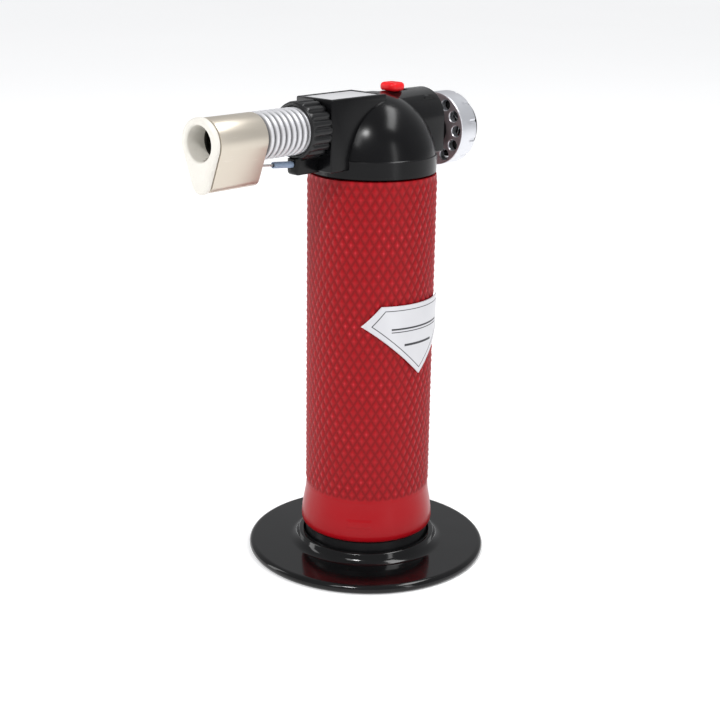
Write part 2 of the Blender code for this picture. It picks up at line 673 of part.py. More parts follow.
def head_holes():
    """Screw holes with their head recesses on the -X side, the jet's seat and the pin's bore."""
    holes = []
    for i, (y, z) in enumerate(SCREWS, 1):
        holes.append(rod(f"screw_hole_{i}", SCREW_HOLE_R, -9.0 * MM, 5.2 * MM, at=(0.0, y, z),
                         turn=ACROSS, sides=16))
        holes.append(rod(f"screw_recess_{i}", SCREW_HEAD_R + GAP, -12.0 * MM, -BOX_HALF + SCREW_RECESS,
                         at=(0.0, y, z), turn=ACROSS, sides=20))
    holes.append(rod("jet_seat", JET_R + GAP, 13.0 * MM, 16.5 * MM, at=(0.0, 0.0, BURNER_Z),
                     turn=FORWARD))
    holes.append(rod("pin_bore", PIN_R + GAP, -8.5 * MM, 8.5 * MM, at=(0.0, LEVER_Y, LEVER_Z),
                     turn=ACROSS, sides=16))
    return holes


def make_housing():
    """Two moulded halves that meet on the plane x = 0 and clamp everything in the head."""
    dome, solids = head_solids()
    hollows = head_hollows()
    supports = head_supports()
    holes = [*head_openings(), *head_holes()]
    reach = 0.1
    for side, sign in (("left", 1.0), ("right", -1.0)):
        half = turned("housing_" + side, dome, BLACK_PLASTIC, steps=40)
        join(half, *solids)
        cut(half, *hollows)
        join(half, *supports)
        cut(half, *holes)
        edge = -SPLIT * sign
        low = (min(edge, sign * reach), -reach, 0.0)
        high = (max(edge, sign * reach), reach, 2 * reach)
        cut(half, block("other_side_of_" + side, low, high))


make_housing()


def make_screws():
    """Three self-tapping screws that go in from the -X side."""
    for i, (y, z) in enumerate(SCREWS, 1):
        seat = BOX_HALF - SCREW_RECESS + GAP / 2
        profile = [(0.0, seat + 1.0 * MM), (SCREW_HEAD_R * 0.7, seat + 1.0 * MM)]
        profile += [(SCREW_HEAD_R, seat + 0.5 * MM), (SCREW_HEAD_R, seat), (SCREW_R, seat)]
        profile += [(SCREW_R, -4.0 * MM), (0.2 * MM, -4.9 * MM), (0.0, -4.9 * MM)]
        screw = turned(f"housing_screw_{i}", profile, SPRING_STEEL, at=(0.0, y, z),
                       turn=(0.0, -math.pi / 2, 0.0), steps=16)
        high = seat + 2.0 * MM
        low = seat + 0.4 * MM
        for k in range(2):
            arms = (1.1 * MM, 0.2 * MM) if k else (0.2 * MM, 1.1 * MM)
            cut(screw, block(f"cross_{i}_{k}", (-arms[0], -arms[1], low), (arms[0], arms[1], high),
                             at=(0.0, y, z), turn=(0.0, -math.pi / 2, 0.0)))


make_screws()


def make_top_plate():
    """The thin bright plate let into the flat top of the head."""
    block("top_plate", (-BOX_HALF + PLATE_EDGE, -BOX_FRONT + PLATE_EDGE, BOX_TOP - PLATE_T - GAP),
          (BOX_HALF - PLATE_EDGE, -PLATE_REAR, BOX_TOP - GAP / 2), LABEL_METAL)


make_top_plate()


def make_lock_slide():
    """The red lock slide: a lens-shaped cap, a neck through the roof and a retaining foot."""
    top = ARCH_Z + ARCH_HALF + GAP
    profile = [(0.0, 2.0 * MM), (1.6 * MM, 1.9 * MM), (2.6 * MM, 1.5 * MM), (CAP_HALF, 0.9 * MM)]
    profile += [(2.6 * MM, 0.4 * MM), (1.9 * MM, 0.0), (0.0, 0.0)]
    cap = turned("lock_slide", profile, RED_PLASTIC, at=(0.0, SLIDE_Y, top), steps=24)
    foot_z = ROOF_INNER - GAP
    neck = block("slide_neck", (-SLIDE_NECK_X, -SLIDE_NECK_Y, foot_z - top - 0.6 * MM),
                 (SLIDE_NECK_X, SLIDE_NECK_Y, 0.9 * MM), at=(0.0, SLIDE_Y, top))
    foot = block("slide_foot", (-2.2 * MM, -2.2 * MM, foot_z - top - 1.8 * MM),
                 (2.2 * MM, 2.2 * MM, foot_z - top - 0.6 * MM), at=(0.0, SLIDE_Y, top))
    lug = block("slide_lug", (-1.2 * MM, -1.2 * MM, foot_z - top - 3.8 * MM),
                (1.2 * MM, 1.2 * MM, foot_z - top - 1.6 * MM), at=(0.0, SLIDE_Y, top))
    join(cap, neck, foot, lug)
    for i in range(5):
        y = (i - 2) * 1.0 * MM
        cut(cap, block(f"cap_groove_{i}", (-4.0 * MM, y - 0.15 * MM, 1.75 * MM),
                       (4.0 * MM, y + 0.15 * MM, 3.0 * MM), at=(0.0, SLIDE_Y, top)))


make_lock_slide()


# Burner --------------------------------------------------------------------------------------
def teardrop(inset, big=18, small=8):
    """The nozzle's section about the burner's axis: a circle drawn down to a small round tip."""
    large = SLEEVE_R - inset
    tip = SLEEVE_TIP_R - inset
    lean = math.asin((SLEEVE_R - SLEEVE_TIP_R) / SLEEVE_TIP_DROP)
    upper = [-lean + (math.pi + 2 * lean) * i / big for i in range(big + 1)]
    lower = [math.pi + lean + (math.pi - 2 * lean) * i / small for i in range(small + 1)]
    points = [(large * math.cos(a), large * math.sin(a)) for a in upper]
    points += [(tip * math.cos(a), tip * math.sin(a) - SLEEVE_TIP_DROP) for a in lower]
    return points


def burner_place(forward):
    """Where an outline goes whose thickness runs forward from a distance ahead of the axis."""
    return (0.0, -forward, BURNER_Z)


def make_nozzle():
    """The ceramic mouth with its flange and the steel sleeve behind it."""
    flange_back = NOZZLE_FRONT - FLANGE_T
    front = flat("nozzle_mouth", teardrop(-0.25 * MM), FLANGE_T, CERAMIC,
                 at=burner_place(flange_back), turn=FORWARD)
    bevel = front.modifiers.new("rounded_flange", "BEVEL")
    bevel.width = 0.6 * MM
    bevel.segments = 2
    bevel.limit_method = "ANGLE"
    bevel.angle_limit = math.radians(60)
    spigot = flat("mouth_spigot", teardrop(SLEEVE_WALL + GAP), flange_back - CERAMIC_BACK + 1.0 * MM,
                  at=burner_place(CERAMIC_BACK), turn=FORWARD)
    join(front, spigot)
    bore = rod("mouth_bore", BORE_R, CERAMIC_BACK - 1.0 * MM, NOZZLE_FRONT + 1.0 * MM,
               at=(0.0, 0.0, BURNER_Z), turn=FORWARD, sides=28)
    way = 2 * ROD_R + GAP
    channel = block("rod_channel", (-way, -ROD_TIP_Y - way, HEAD_Z + 6.2 * MM),
                    (way, -CERAMIC_BACK + 1.0 * MM, HEAD_Z + 7.8 * MM))
    shaft = block("rod_shaft", (-way, -ROD_TIP_Y - way, HEAD_Z + 6.6 * MM),
                  (way, -ROD_TIP_Y + way, HEAD_Z + 12.0 * MM))
    cut(front, bore, channel, shaft)
    length = flange_back - GAP - SLEEVE_BACK
    sleeve = flat("nozzle_sleeve", teardrop(0.0), length, STEEL, at=burner_place(SLEEVE_BACK),
                  turn=FORWARD)
    cut(sleeve, flat("sleeve_inside", teardrop(SLEEVE_WALL), length + 2.0 * MM,
                     at=burner_place(SLEEVE_BACK - 1.0 * MM), turn=FORWARD))


make_nozzle()


def make_burner_tubes():
    """Mixing tube, flame holder, finned heat sink, air collar, jet and its holder."""
    at = (0.0, 0.0, BURNER_Z)
    flange = MIXER_R + 1.1 * MM
    profile = [(MIXER_BORE, MIXER_FRONT), (MIXER_R, MIXER_FRONT), (MIXER_R, MIXER_BACK + 0.9 * MM)]
    profile += [(flange, MIXER_BACK + 0.9 * MM), (flange, MIXER_BACK), (MIXER_BORE, MIXER_BACK)]
    mixer = turned("mixing_tube", profile, STEEL, at=at, turn=FORWARD, steps=24)
    for i in range(2):
        port = rod(f"air_port_{i}", 0.9 * MM, -6.0 * MM, 6.0 * MM,
                   at=(0.0, -(BOX_FRONT + 1.9 * MM), BURNER_Z), turn=(0.0, i * math.pi / 2, 0.0), sides=12)
        cut(mixer, port)

    socket = MIXER_R + GAP
    floor = MIXER_FRONT + GAP
    cup = [(4.3 * MM, CERAMIC_BACK - GAP), (5.2 * MM, CERAMIC_BACK - GAP)]
    cup += [(5.2 * MM, floor + 1.0 * MM), (4.4 * MM, floor - 1.6 * MM), (socket, floor - 1.6 * MM)]
    cup += [(socket, floor), (1.1 * MM, floor), (1.1 * MM, floor + 1.2 * MM)]
    cup += [(4.3 * MM, floor + 1.2 * MM)]
    holder = turned("flame_holder", cup, DARK_METAL, at=at, turn=FORWARD, steps=24)
    for i in range(6):
        angle = math.pi / 3 * i
        x = 2.1 * MM * math.cos(angle)
        z = BURNER_Z + 2.1 * MM * math.sin(angle)
        cut(holder, rod(f"flame_port_{i}", 0.45 * MM, floor - 1.0 * MM, floor + 2.5 * MM,
                        at=(x, 0.0, z), turn=FORWARD, sides=10))

    inner = MIXER_R + GAP
    fins_back = COLLAR_FRONT - 2.4 * MM
    front_end = SLEEVE_BACK + 2.6 * MM
    neck_r = SLEEVE_R - SLEEVE_WALL - GAP
    profile = [(inner, front_end), (neck_r, front_end)]
    last = fins_back + FIN_PITCH * FINS
    profile += [(neck_r, last + 0.4 * MM)]
    for i in range(FINS):
        top = last - FIN_PITCH * i
        profile += [(FIN_ROOT, top), (FIN_R, top - 0.5 * MM), (FIN_R, top - 1.3 * MM)]
    profile += [(FIN_ROOT, fins_back), (inner, fins_back)]
    turned("heat_sink_tube", profile, ALLOY, at=at, turn=FORWARD, steps=24)

    back = BOX_FRONT + GAP
    lip = COLLAR_FRONT - 3.2 * MM
    recess = COLLAR_FRONT - 2.8 * MM
    profile = [(FIN_R + GAP, COLLAR_FRONT), (COLLAR_MOUTH_R + 0.1 * MM, COLLAR_FRONT)]
    profile += [(COLLAR_R - 0.3 * MM, lip), (COLLAR_R, lip - 0.6 * MM), (COLLAR_R, back + 0.4 * MM)]
    profile += [(COLLAR_R - 0.4 * MM, back), (inner, back), (inner, recess), (FIN_R + GAP, recess)]
    collar = turned("air_collar", profile, BLACK_PLASTIC, at=at, turn=FORWARD_SPUN, steps=40)
    for i in range(COLLAR_RIBS):
        angle = 2 * math.pi * (i + 0.5) / COLLAR_RIBS
        reach = COLLAR_R + 0.35 * MM
        x = reach * math.cos(angle)
        z = BURNER_Z + reach * math.sin(angle)
        cut(collar, rod(f"flute_{i}", 0.8 * MM, back - 1.0 * MM, lip + 0.2 * MM, at=(x, 0.0, z),
                        turn=FORWARD, sides=6))

    holder = rod("jet_holder", JET_R, JET_BACK, JET_FRONT, BRASS, at=at, turn=FORWARD, sides=24)
    inlet = rod("jet_inlet", SPIGOT_R, -5.0 * MM, 0.0, at=(0.0, -INLET_Y, BURNER_Z), sides=16)
    join(holder, inlet)
    rise = rod("jet_rise", SPIGOT_R / 2, -6.0 * MM, 0.4 * MM, at=(0.0, -INLET_Y, BURNER_Z), sides=10)
    run = rod("jet_run", SPIGOT_R / 2, INLET_Y - 0.4 * MM, JET_FRONT + 1.0 * MM, at=at,
              turn=FORWARD, sides=10)
    seat = rod("jet_socket", 1.55 * MM, JET_FRONT - 2.4 * MM, JET_FRONT + 1.0 * MM, at=at,
               turn=FORWARD, sides=16)
    cut(holder, rise, run, seat)
    tip = JET_FRONT + 3.2 * MM
    base = JET_FRONT - 2.4 * MM + GAP
    profile = [(0.15 * MM, tip), (0.5 * MM, tip), (1.25 * MM, tip - 1.4 * MM), (1.25 * MM, base)]
    profile += [(0.4 * MM, base), (0.4 * MM, tip - 1.0 * MM), (0.15 * MM, tip - 0.6 * MM)]
    turned("gas_jet", profile, BRASS, at=at, turn=FORWARD, steps=16)


make_burner_tubes()


def make_hose():
    """The short silicone hose from the tank's spigot up to the jet holder's inlet."""
    low = PLUG_FLANGE_TOP + GAP
    high = BURNER_Z - JET_R - GAP
    rise = (high - low) / 4
    route = [(0.0, -SPIGOT_Y, low), (0.0, -SPIGOT_Y, low + rise)]
    route += [(0.0, -(SPIGOT_Y + INLET_Y) / 2, (low + high) / 2)]
    route += [(0.0, -INLET_Y, high - rise), (0.0, -INLET_Y, high)]
    hose = wire("gas_hose", smooth(route, 4), HOSE_R, SILICONE)
    inside = [(0.0, -SPIGOT_Y, low - 1.0 * MM), *route[1:-1], (0.0, -INLET_Y, high + 1.0 * MM)]
    cut(hose, wire("hose_inside", smooth(inside, 4), HOSE_BORE))


make_hose()


# Ignition ------------------------------------------------------------------------------------
def make_flow_ring():
    """The chrome gas-flow ring: a cup round the neck, with a ring of holes in its front plate."""
    at = (0.0, 0.0, KNOB_Z)
    plate_back = RING_FRONT + RING_PLATE_T
    profile = [(NECK_R + GAP, -RING_FRONT), (RING_R - 0.4 * MM, -RING_FRONT)]
    profile += [(RING_R, -RING_FRONT - 0.4 * MM), (RING_R - 0.1 * MM, -RING_REAR + 0.4 * MM)]
    profile += [(RING_R - 0.5 * MM, -RING_REAR), (RING_R - RING_WALL, -RING_REAR)]
    profile += [(RING_R - RING_WALL, -plate_back), (NECK_R + GAP, -plate_back)]
    ring = turned("gas_flow_ring", profile, CHROME, at=at, turn=FORWARD_SPUN, steps=32)
    for i in range(RING_HOLES):
        angle = 2 * math.pi * i / RING_HOLES
        hole_at = (RING_HOLE_CIRCLE * math.cos(angle), 0.0, KNOB_Z + RING_HOLE_CIRCLE * math.sin(angle))
        cut(ring, rod(f"ring_hole_{i}", RING_HOLE_R, -plate_back - 0.6 * MM, -RING_FRONT + 1.0 * MM,
                      at=hole_at, turn=FORWARD, sides=10))
        angle += math.pi / RING_HOLES
        notch_at = ((RING_R + 0.5 * MM) * math.cos(angle), 0.0,
                    KNOB_Z + (RING_R + 0.5 * MM) * math.sin(angle))
        cut(ring, rod(f"ring_notch_{i}", 0.8 * MM, -RING_REAR - 1.0 * MM, -RING_REAR + 3.0 * MM,
                      at=notch_at, turn=FORWARD, sides=6))


make_flow_ring()


def make_button():
    """The ignition button: a cupped cap, a stem through the neck and the arm that works inside."""
    at = (0.0, 0.0, KNOB_Z)
    skirt_front = RING_FRONT + RING_PLATE_T + BUTTON_TRAVEL + GAP
    cap_t = 1.6 * MM
    floor = BUTTON_REAR - cap_t
    wall = 1.2 * MM
    root = BUTTON_ARM_REAR - 1.0 * MM
    profile = [(0.0, -root), (BUTTON_STEM_R, -root), (BUTTON_STEM_R, -floor)]
    profile += [(BUTTON_R - wall, -floor), (BUTTON_R - wall, -skirt_front), (BUTTON_R, -skirt_front)]
    profile += [(BUTTON_R, -BUTTON_REAR + 1.2 * MM), (BUTTON_R - 1.2 * MM, -BUTTON_REAR)]
    profile += [(0.0, -BUTTON_REAR)]
    button = turned("ignition_button", profile, BLACK_PLASTIC, at=at, turn=FORWARD_SPUN, steps=28)
    low = KNOB_Z - BUTTON_STEM_R
    arm = block("button_arm", (-1.9 * MM, BUTTON_ARM_FRONT, low - KNOB_Z),
                (1.9 * MM, BUTTON_ARM_REAR, LEVER_BAR_Z + 0.6 * MM - KNOB_Z), at=at)
    bar = block("button_bar", (-1.8 * MM, LEVER_Y + 0.8 * MM + GAP, LEVER_BAR_Z - 1.0 * MM - KNOB_Z),
                (1.8 * MM, BUTTON_ARM_REAR - 1.0 * MM, LEVER_BAR_Z + 0.5 * MM - KNOB_Z), at=at)
    join(button, arm, bar)
    coil("button_spring", NECK_R - 0.1 * MM, 0.35 * MM, -floor + GAP, -NECK_REAR - GAP, 3.5, at=at,
         forward=True)
    plunger_end = BUTTON_ARM_FRONT - GAP
    rod("piezo_plunger", PLUNGER_R, -plunger_end, -PIEZO_REAR + 1.4 * MM, PIEZO_WHITE, at=at,
        turn=FORWARD, sides=16)


make_button()


def make_piezo():
    """The piezo block, bored at the back for its plunger, and the lead to the electrode."""
    side = PIEZO_SIDE / 2
    centre = KNOB_Z + 0.3 * MM
    case = block("piezo_igniter", (-side, PIEZO_FRONT, -side), (side, PIEZO_REAR, side), PIEZO_WHITE,
                 at=(0.0, 0.0, centre))
    bevel = case.modifiers.new("rounded_case", "BEVEL")
    bevel.width = 0.5 * MM
    bevel.segments = 2
    depth = BUTTON_TRAVEL + 1.4 * MM + 2 * GAP
    cut(case, rod("plunger_bore", PLUNGER_R + GAP, -PIEZO_REAR - 1.0 * MM, -PIEZO_REAR + depth,
                  at=(0.0, 0.0, KNOB_Z), turn=FORWARD))
    terminal = PIEZO_FRONT - 2 * GAP
    route = [(-2.4 * MM, terminal, HEAD_Z + 12.2 * MM),
             (-3.6 * MM, terminal - 0.9 * MM, HEAD_Z + 12.0 * MM),
             (-5.2 * MM, 0.0, HEAD_Z + 11.0 * MM), (-5.6 * MM, -3.5 * MM, HEAD_Z + 9.0 * MM),
             (-4.9 * MM, -9.0 * MM, HEAD_Z + 6.6 * MM), (-4.0 * MM, -14.0 * MM, HEAD_Z + 5.2 * MM),
             (-2.2 * MM, -19.0 * MM, HEAD_Z + 5.0 * MM), (-0.4 * MM, -23.0 * MM, HEAD_Z + 5.0 * MM),
             (0.0, -INSULATOR_START + GAP + 0.2 * MM, INSULATOR_START_Z - 0.05 * MM)]
    wire("igniter_lead", smooth(route, 3), LEAD_R, BLACK_PLASTIC, resolution=1)


make_piezo()


def make_gas_lever():
    """The lever the button's bar pushes, so that its fork lifts the outlet stem, and its pin."""
    at = (0.0, LEVER_Y, LEVER_Z)
    bar_z = LEVER_BAR_Z - LEVER_Z
    half = 3.4 * MM
    thick = 0.8 * MM
    lever = rod("gas_lever", PIN_R + GAP + 0.7 * MM, -half, half, BRASS, at=at, turn=ACROSS, sides=20)
    fork_end = -LEVER_Y + 1.2 * MM
    fork = block("lever_fork", (-half, 0.0, -0.1 * MM), (half, fork_end, 1.0 * MM), at=at)
    cheeks = [
        block(f"lever_cheek_{i}", (low, -thick, 0.0), (low + 1.2 * MM, thick, bar_z + 1.0 * MM), at=at)
        for i, low in enumerate((-half, half - 1.2 * MM))
    ]
    bar = block("lever_bar", (-half, -thick, bar_z - 1.0 * MM), (half, thick, bar_z + 1.0 * MM), at=at)
    join(lever, fork, *cheeks, bar)
    slot = block("lever_slot", (-1.35 * MM, -LEVER_Y - 2.2 * MM, -2.0 * MM),
                 (1.35 * MM, fork_end + 1.0 * MM, 3.0 * MM), at=at)
    bore = rod("lever_bore", PIN_R + GAP, -half - 1.0 * MM, half + 1.0 * MM, at=at, turn=ACROSS, sides=16)
    cut(lever, slot, bore)
    rod("lever_pin", PIN_R, -8.2 * MM, 8.2 * MM, STEEL, at=at, turn=ACROSS, sides=14)


make_gas_lever()


def make_electrode():
    """The spark rod, which turns up into the ceramic mouth, in its blue-grey insulator."""
    length = math.hypot(INSULATOR_END - INSULATOR_START, INSULATOR_END_Z - INSULATOR_START_Z)
    bore = ROD_R + 0.2 * MM
    profile = [(bore, length), (INSULATOR_R, length), (INSULATOR_R, 0.0), (bore, 0.0)]
    turned("electrode_insulator", profile, BLUE_SLEEVE, at=(0.0, -INSULATOR_START, INSULATOR_START_Z),
           turn=(math.pi / 2 - INSULATOR_TILT, 0.0, 0.0), steps=16)
    slope = math.tan(INSULATOR_TILT)
    start = INSULATOR_START + 0.8 * MM
    level = HEAD_Z + 7.0 * MM
    bend = 0.9 * MM
    route = [(0.0, -start, INSULATOR_START_Z + 0.8 * MM * slope),
             (0.0, -INSULATOR_END - 0.5 * MM, INSULATOR_END_Z + 0.5 * MM * slope),
             (0.0, -SLEEVE_BACK, level), (0.0, -ROD_TIP_Y + bend, level)]
    for i in range(1, 4):
        angle = math.pi / 2 * i / 4
        route.append((0.0, -ROD_TIP_Y + bend - bend * math.sin(angle),
                      level + bend - bend * math.cos(angle)))
    route += [(0.0, -ROD_TIP_Y, level + bend), (0.0, -ROD_TIP_Y, BURNER_Z - BORE_R + 0.7 * MM)]
    wire("electrode_rod", route, ROD_R, STEEL, resolution=1)


make_electrode()

for made in torch.objects:
    if made.type == "MESH" and not made.modifiers:
        made.data.shade_smooth()
        made.data.set_sharp_from_angle(angle=math.radians(35))
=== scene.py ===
import math

import bmesh
import bpy
from mathutils import Matrix, Vector


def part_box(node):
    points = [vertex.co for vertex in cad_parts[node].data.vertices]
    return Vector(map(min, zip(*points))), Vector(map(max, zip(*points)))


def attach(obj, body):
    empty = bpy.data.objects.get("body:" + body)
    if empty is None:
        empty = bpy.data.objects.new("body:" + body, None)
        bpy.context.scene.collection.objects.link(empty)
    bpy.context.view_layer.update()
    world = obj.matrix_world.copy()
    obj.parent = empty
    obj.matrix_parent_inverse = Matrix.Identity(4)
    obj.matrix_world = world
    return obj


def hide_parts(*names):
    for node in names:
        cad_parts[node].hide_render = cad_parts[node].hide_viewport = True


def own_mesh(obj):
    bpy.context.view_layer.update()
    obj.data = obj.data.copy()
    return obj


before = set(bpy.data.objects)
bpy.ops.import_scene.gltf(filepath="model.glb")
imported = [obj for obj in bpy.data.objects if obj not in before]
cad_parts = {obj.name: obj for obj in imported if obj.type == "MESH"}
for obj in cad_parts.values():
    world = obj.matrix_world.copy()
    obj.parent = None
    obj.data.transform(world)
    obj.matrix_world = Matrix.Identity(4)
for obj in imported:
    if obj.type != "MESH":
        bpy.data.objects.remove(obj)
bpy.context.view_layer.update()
MM = 0.001

# The studio -------------------------------------------------------------------------------------
# A long lens looks down at the torch from its nozzle side, over a seamless white table. One soft
# key stands by the lens, tall boxes stand on both sides, a narrow one hangs over the head, and a
# far lamp throws the shadow back and to the right.
bpy.ops.object.select_all(action="DESELECT")
bpy.ops.object.camera_add(
    location=(0.27258, -0.30236, 0.18978),
    rotation=[math.radians(a) for a in (72.356, -0.864, 42.689)],
)
camera = bpy.context.object
camera.data.lens = 70.5
camera.data.sensor_width = 36.0
camera.data.clip_start = 0.01
bpy.context.scene.camera = camera
bpy.context.scene.view_settings.view_transform = "Standard"

world = bpy.data.worlds.new("studio_walls")
world.use_nodes = True
world.node_tree.nodes["Background"].inputs["Color"].default_value = (0.97, 0.98, 1.0, 1.0)
world.node_tree.nodes["Background"].inputs["Strength"].default_value = 0.55
bpy.context.scene.world = world

bpy.ops.mesh.primitive_plane_add(size=14.0, location=(0.0, 0.0, 0.0))
table_top = bpy.context.object
table_top.name = "table_top"


def soft_box(name, place, towards, along, size, watts):
    """A rectangular light that faces a point, with its long side along a direction."""
    back = (Vector(place) - Vector(towards)).normalized()
    side = (Vector(along) - back * Vector(along).dot(back)).normalized()
    up = back.cross(side)
    turn = Matrix((side, up, back)).transposed().to_euler()
    bpy.ops.object.light_add(type="AREA", location=place, rotation=turn)
    lamp = bpy.context.object
    lamp.name = name
    lamp.data.shape = "RECTANGLE"
    lamp.data.size = size[0]
    lamp.data.size_y = size[1]
    lamp.data.energy = watts


upright = (0.0, 0.0, 1.0)
head_top = (0.0, 0.0, 0.13)
soft_box("key_box", (0.16, -0.80, 0.78), head_top, upright, (0.42, 0.14), 1.3)
soft_box("dome_box", (0.32, 0.28, 0.98), head_top, (0.81, -0.60, -0.09), (0.80, 0.20), 5.0)
soft_box("right_box", (0.85, -0.10, 0.30), head_top, upright, (0.60, 0.10), 0.9)
soft_box("left_box", (-0.62, -0.45, 0.28), head_top, upright, (0.60, 0.16), 1.3)
sun_path = Vector((-0.27, 0.62, -0.80)).to_track_quat("-Z", "Y")
bpy.ops.object.light_add(type="SUN", rotation=sun_path.to_euler())
bpy.context.object.name = "far_lamp"
bpy.context.object.data.energy = 1.15
bpy.context.object.data.angle = math.radians(9)


# The stand --------------------------------------------------------------------------------------
# One injection moulding in glossy black plastic: a flat disc with a rounded rim, and a raised ring
# that the tank's foot drops into. It is loose, and the torch lifts straight off it.
class Level:
    """One number of a finish. Sums written with it become Math nodes."""

    def __init__(self, finish, socket):
        self.finish = finish
        self.socket = socket

    def maths(self, operation, *others):
        values = dict(enumerate((self, *others)))
        return self.finish.node("ShaderNodeMath", {"operation": operation}, values)

    def __add__(self, other):
        return self.maths("ADD", other)

    def __mul__(self, other):
        return self.maths("MULTIPLY", other)

    def __sub__(self, other):
        return self.maths("SUBTRACT", other)

    def __rsub__(self, other):
        return self.finish.node("ShaderNodeMath", {"operation": "SUBTRACT"}, {0: other, 1: self})

    def __truediv__(self, other):
        return self.maths("DIVIDE", other)

    __radd__ = __add__
    __rmul__ = __mul__


class Finish:
    """A material, with the few kinds of node that its finish is made of."""

    def __init__(self, name, colour, roughness, metallic=0.0, **shader_values):
        self.material = bpy.data.materials.new(name)
        self.material.use_nodes = True
        self.tree = self.material.node_tree
        self.shader = self.tree.nodes["Principled BSDF"]
        self.shader.inputs["Base Color"].default_value = (*colour, 1.0)
        self.shader.inputs["Roughness"].default_value = roughness
        self.shader.inputs["Metallic"].default_value = metallic
        for key, value in shader_values.items():
            key = key.replace("_", " ").title().replace("Ior", "IOR")
            self.shader.inputs[key].default_value = value
        self.place = self.node("ShaderNodeTexCoord", out="Object")

    def node(self, kind, settings=None, values=None, out=0):
        made = self.tree.nodes.new(kind)
        for key, value in (settings or {}).items():
            if key == "stops":
                for stop, (position, shade) in zip(made.color_ramp.elements, value):
                    stop.position = position
                    stop.color = (shade, shade, shade, 1.0)
            else:
                setattr(made, key, value)
        for key, value in (values or {}).items():
            if isinstance(value, Level):
                self.tree.links.new(value.socket, made.inputs[key])
            else:
                made.inputs[key].default_value = value
        return Level(self, made.outputs[out])

    def feed(self, socket, level):
        self.tree.links.new(level.socket, self.shader.inputs[socket])

    def grain(self, scale, detail=3.0, stretch=(1.0, 1.0, 1.0)):
        """Noise of so many grains to the metre, drawn out along an axis by a small stretch."""
        drawn = self.node("ShaderNodeMapping", {}, {"Vector": self.place, "Scale": stretch})
        values = {"Vector": drawn, "Scale": scale, "Detail": detail}
        return self.node("ShaderNodeTexNoise", {}, values, "Fac")

    def step(self, level, low, high):
        """0 below low and 1 above high."""
        values = {"Value": level, "From Min": low, "From Max": high}
        return self.node("ShaderNodeMapRange", {"interpolation_type": "SMOOTHSTEP"}, values)

    def blend(self, share, first, second):
        """A colour between two others."""
        first = first if isinstance(first, Level) else (*first, 1.0)
        second = second if isinstance(second, Level) else (*second, 1.0)
        values = {"Factor": share, 6: first, 7: second}
        return self.node("ShaderNodeMix", {"data_type": "RGBA"}, values, 2)

    def relief(self, height, depth):
        """Bumps of a depth in metres."""
        values = {"Height": height, "Distance": depth, "Strength": 1.0}
        self.feed("Normal", self.node("ShaderNodeBump", {}, values))


def moulded(name, colour, roughness, mottle=0.06, relief=0.004 * MM, **shader_values):
    """Moulded plastic: faint flow marks, a fine texture and uneven gloss with hairline scuffs."""
    finish = Finish(name, colour, roughness, **shader_values)
    flow = finish.grain(90.0, 4.0)
    fine = finish.grain(2600.0, 2.0)
    scuffs = finish.step(finish.grain(420.0, 5.0, (1.0, 9.0, 1.0)), 0.62, 0.74)
    light = [min(1.0, c * 1.6 + 0.001) for c in colour]
    finish.feed("Base Color", finish.blend(finish.step(flow, 0.3, 0.8), colour, light))
    finish.feed("Roughness", roughness + (flow - 0.5) * mottle * 2 + scuffs * mottle)
    finish.relief(fine + flow * 0.6, relief)
    return finish.material


def drawn_line(name, points):
    """A line drawn point by point: one vertex, extruded to each next point. Stays in edit mode."""
    bpy.ops.object.select_all(action="DESELECT")
    bpy.ops.mesh.primitive_plane_add(size=MM, location=points[0])
    made = bpy.context.object
    made.name = name
    bpy.ops.object.transform_apply(location=True, rotation=True, scale=True)
    bpy.ops.object.mode_set(mode="EDIT")
    bpy.ops.mesh.select_mode(type="VERT")
    bpy.ops.mesh.select_all(action="SELECT")
    bpy.ops.mesh.merge(type="CENTER")
    for here, there in zip(points, points[1:]):
        way = [b - a for a, b in zip(here, there)]
        bpy.ops.mesh.extrude_region_move(TRANSFORM_OT_translate={"value": way})
    bpy.ops.mesh.select_all(action="SELECT")
    return made


def lathe(name, profile, columns, shape=None, forward=False, at=(0.0, 0.0, 0.0)):
    """A turned piece: a (radius, height) profile, closed or ending on the axis, spun right round.

    shape(angle, radius, height) gives the radius where it isn't round. Heights run up, or forward
    along the flame for a piece of the burner.
    """
    closed = profile[0][0] > 0.0 or profile[-1][0] > 0.0
    loop = [*profile, profile[0]] if closed else profile
    made = drawn_line(name, [(radius, 0.0, height) for radius, height in loop])
    bpy.ops.mesh.spin(steps=columns, angle=2 * math.pi, center=(0, 0, 0), axis=(0, 0, 1))
    bpy.ops.mesh.select_all(action="SELECT")
    bpy.ops.mesh.remove_doubles(threshold=0.0004 * MM)
    bpy.ops.mesh.normals_make_consistent(inside=False)
    bpy.ops.object.mode_set(mode="OBJECT")
    for vertex in made.data.vertices if shape else ():
        x, y, height = vertex.co
        old = math.hypot(x, y)
        new = shape(math.atan2(y, x), old, height)
        vertex.co = (x * new / old, y * new / old, height)
    if forward:
        made.data.transform(Matrix.Rotation(math.pi / 2, 4, "X"))
    made.data.transform(Matrix.Translation(at))
    return made


def bend(centre, radius, start, end, count):
    """Points of a round corner in a profile, by its angle in degrees from the outward direction."""
    angles = [math.radians(start + (end - start) * i / count) for i in range(count + 1)]
    return [(centre[0] + radius * math.cos(a), centre[1] + radius * math.sin(a)) for a in angles]


def hand_over(piece, material, body, slot, *nodes, angle=32.0):
    """The finished piece gets its finish and smooth shading, and takes the CAD nodes' place."""
    piece.data.materials.clear()
    piece.data.materials.append(material)
    bpy.ops.object.select_all(action="DESELECT")
    piece.select_set(True)
    bpy.context.view_layer.objects.active = piece
    bpy.ops.object.shade_smooth_by_angle(angle=math.radians(angle))
    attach(piece, body)
    if nodes:
        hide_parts(*nodes)


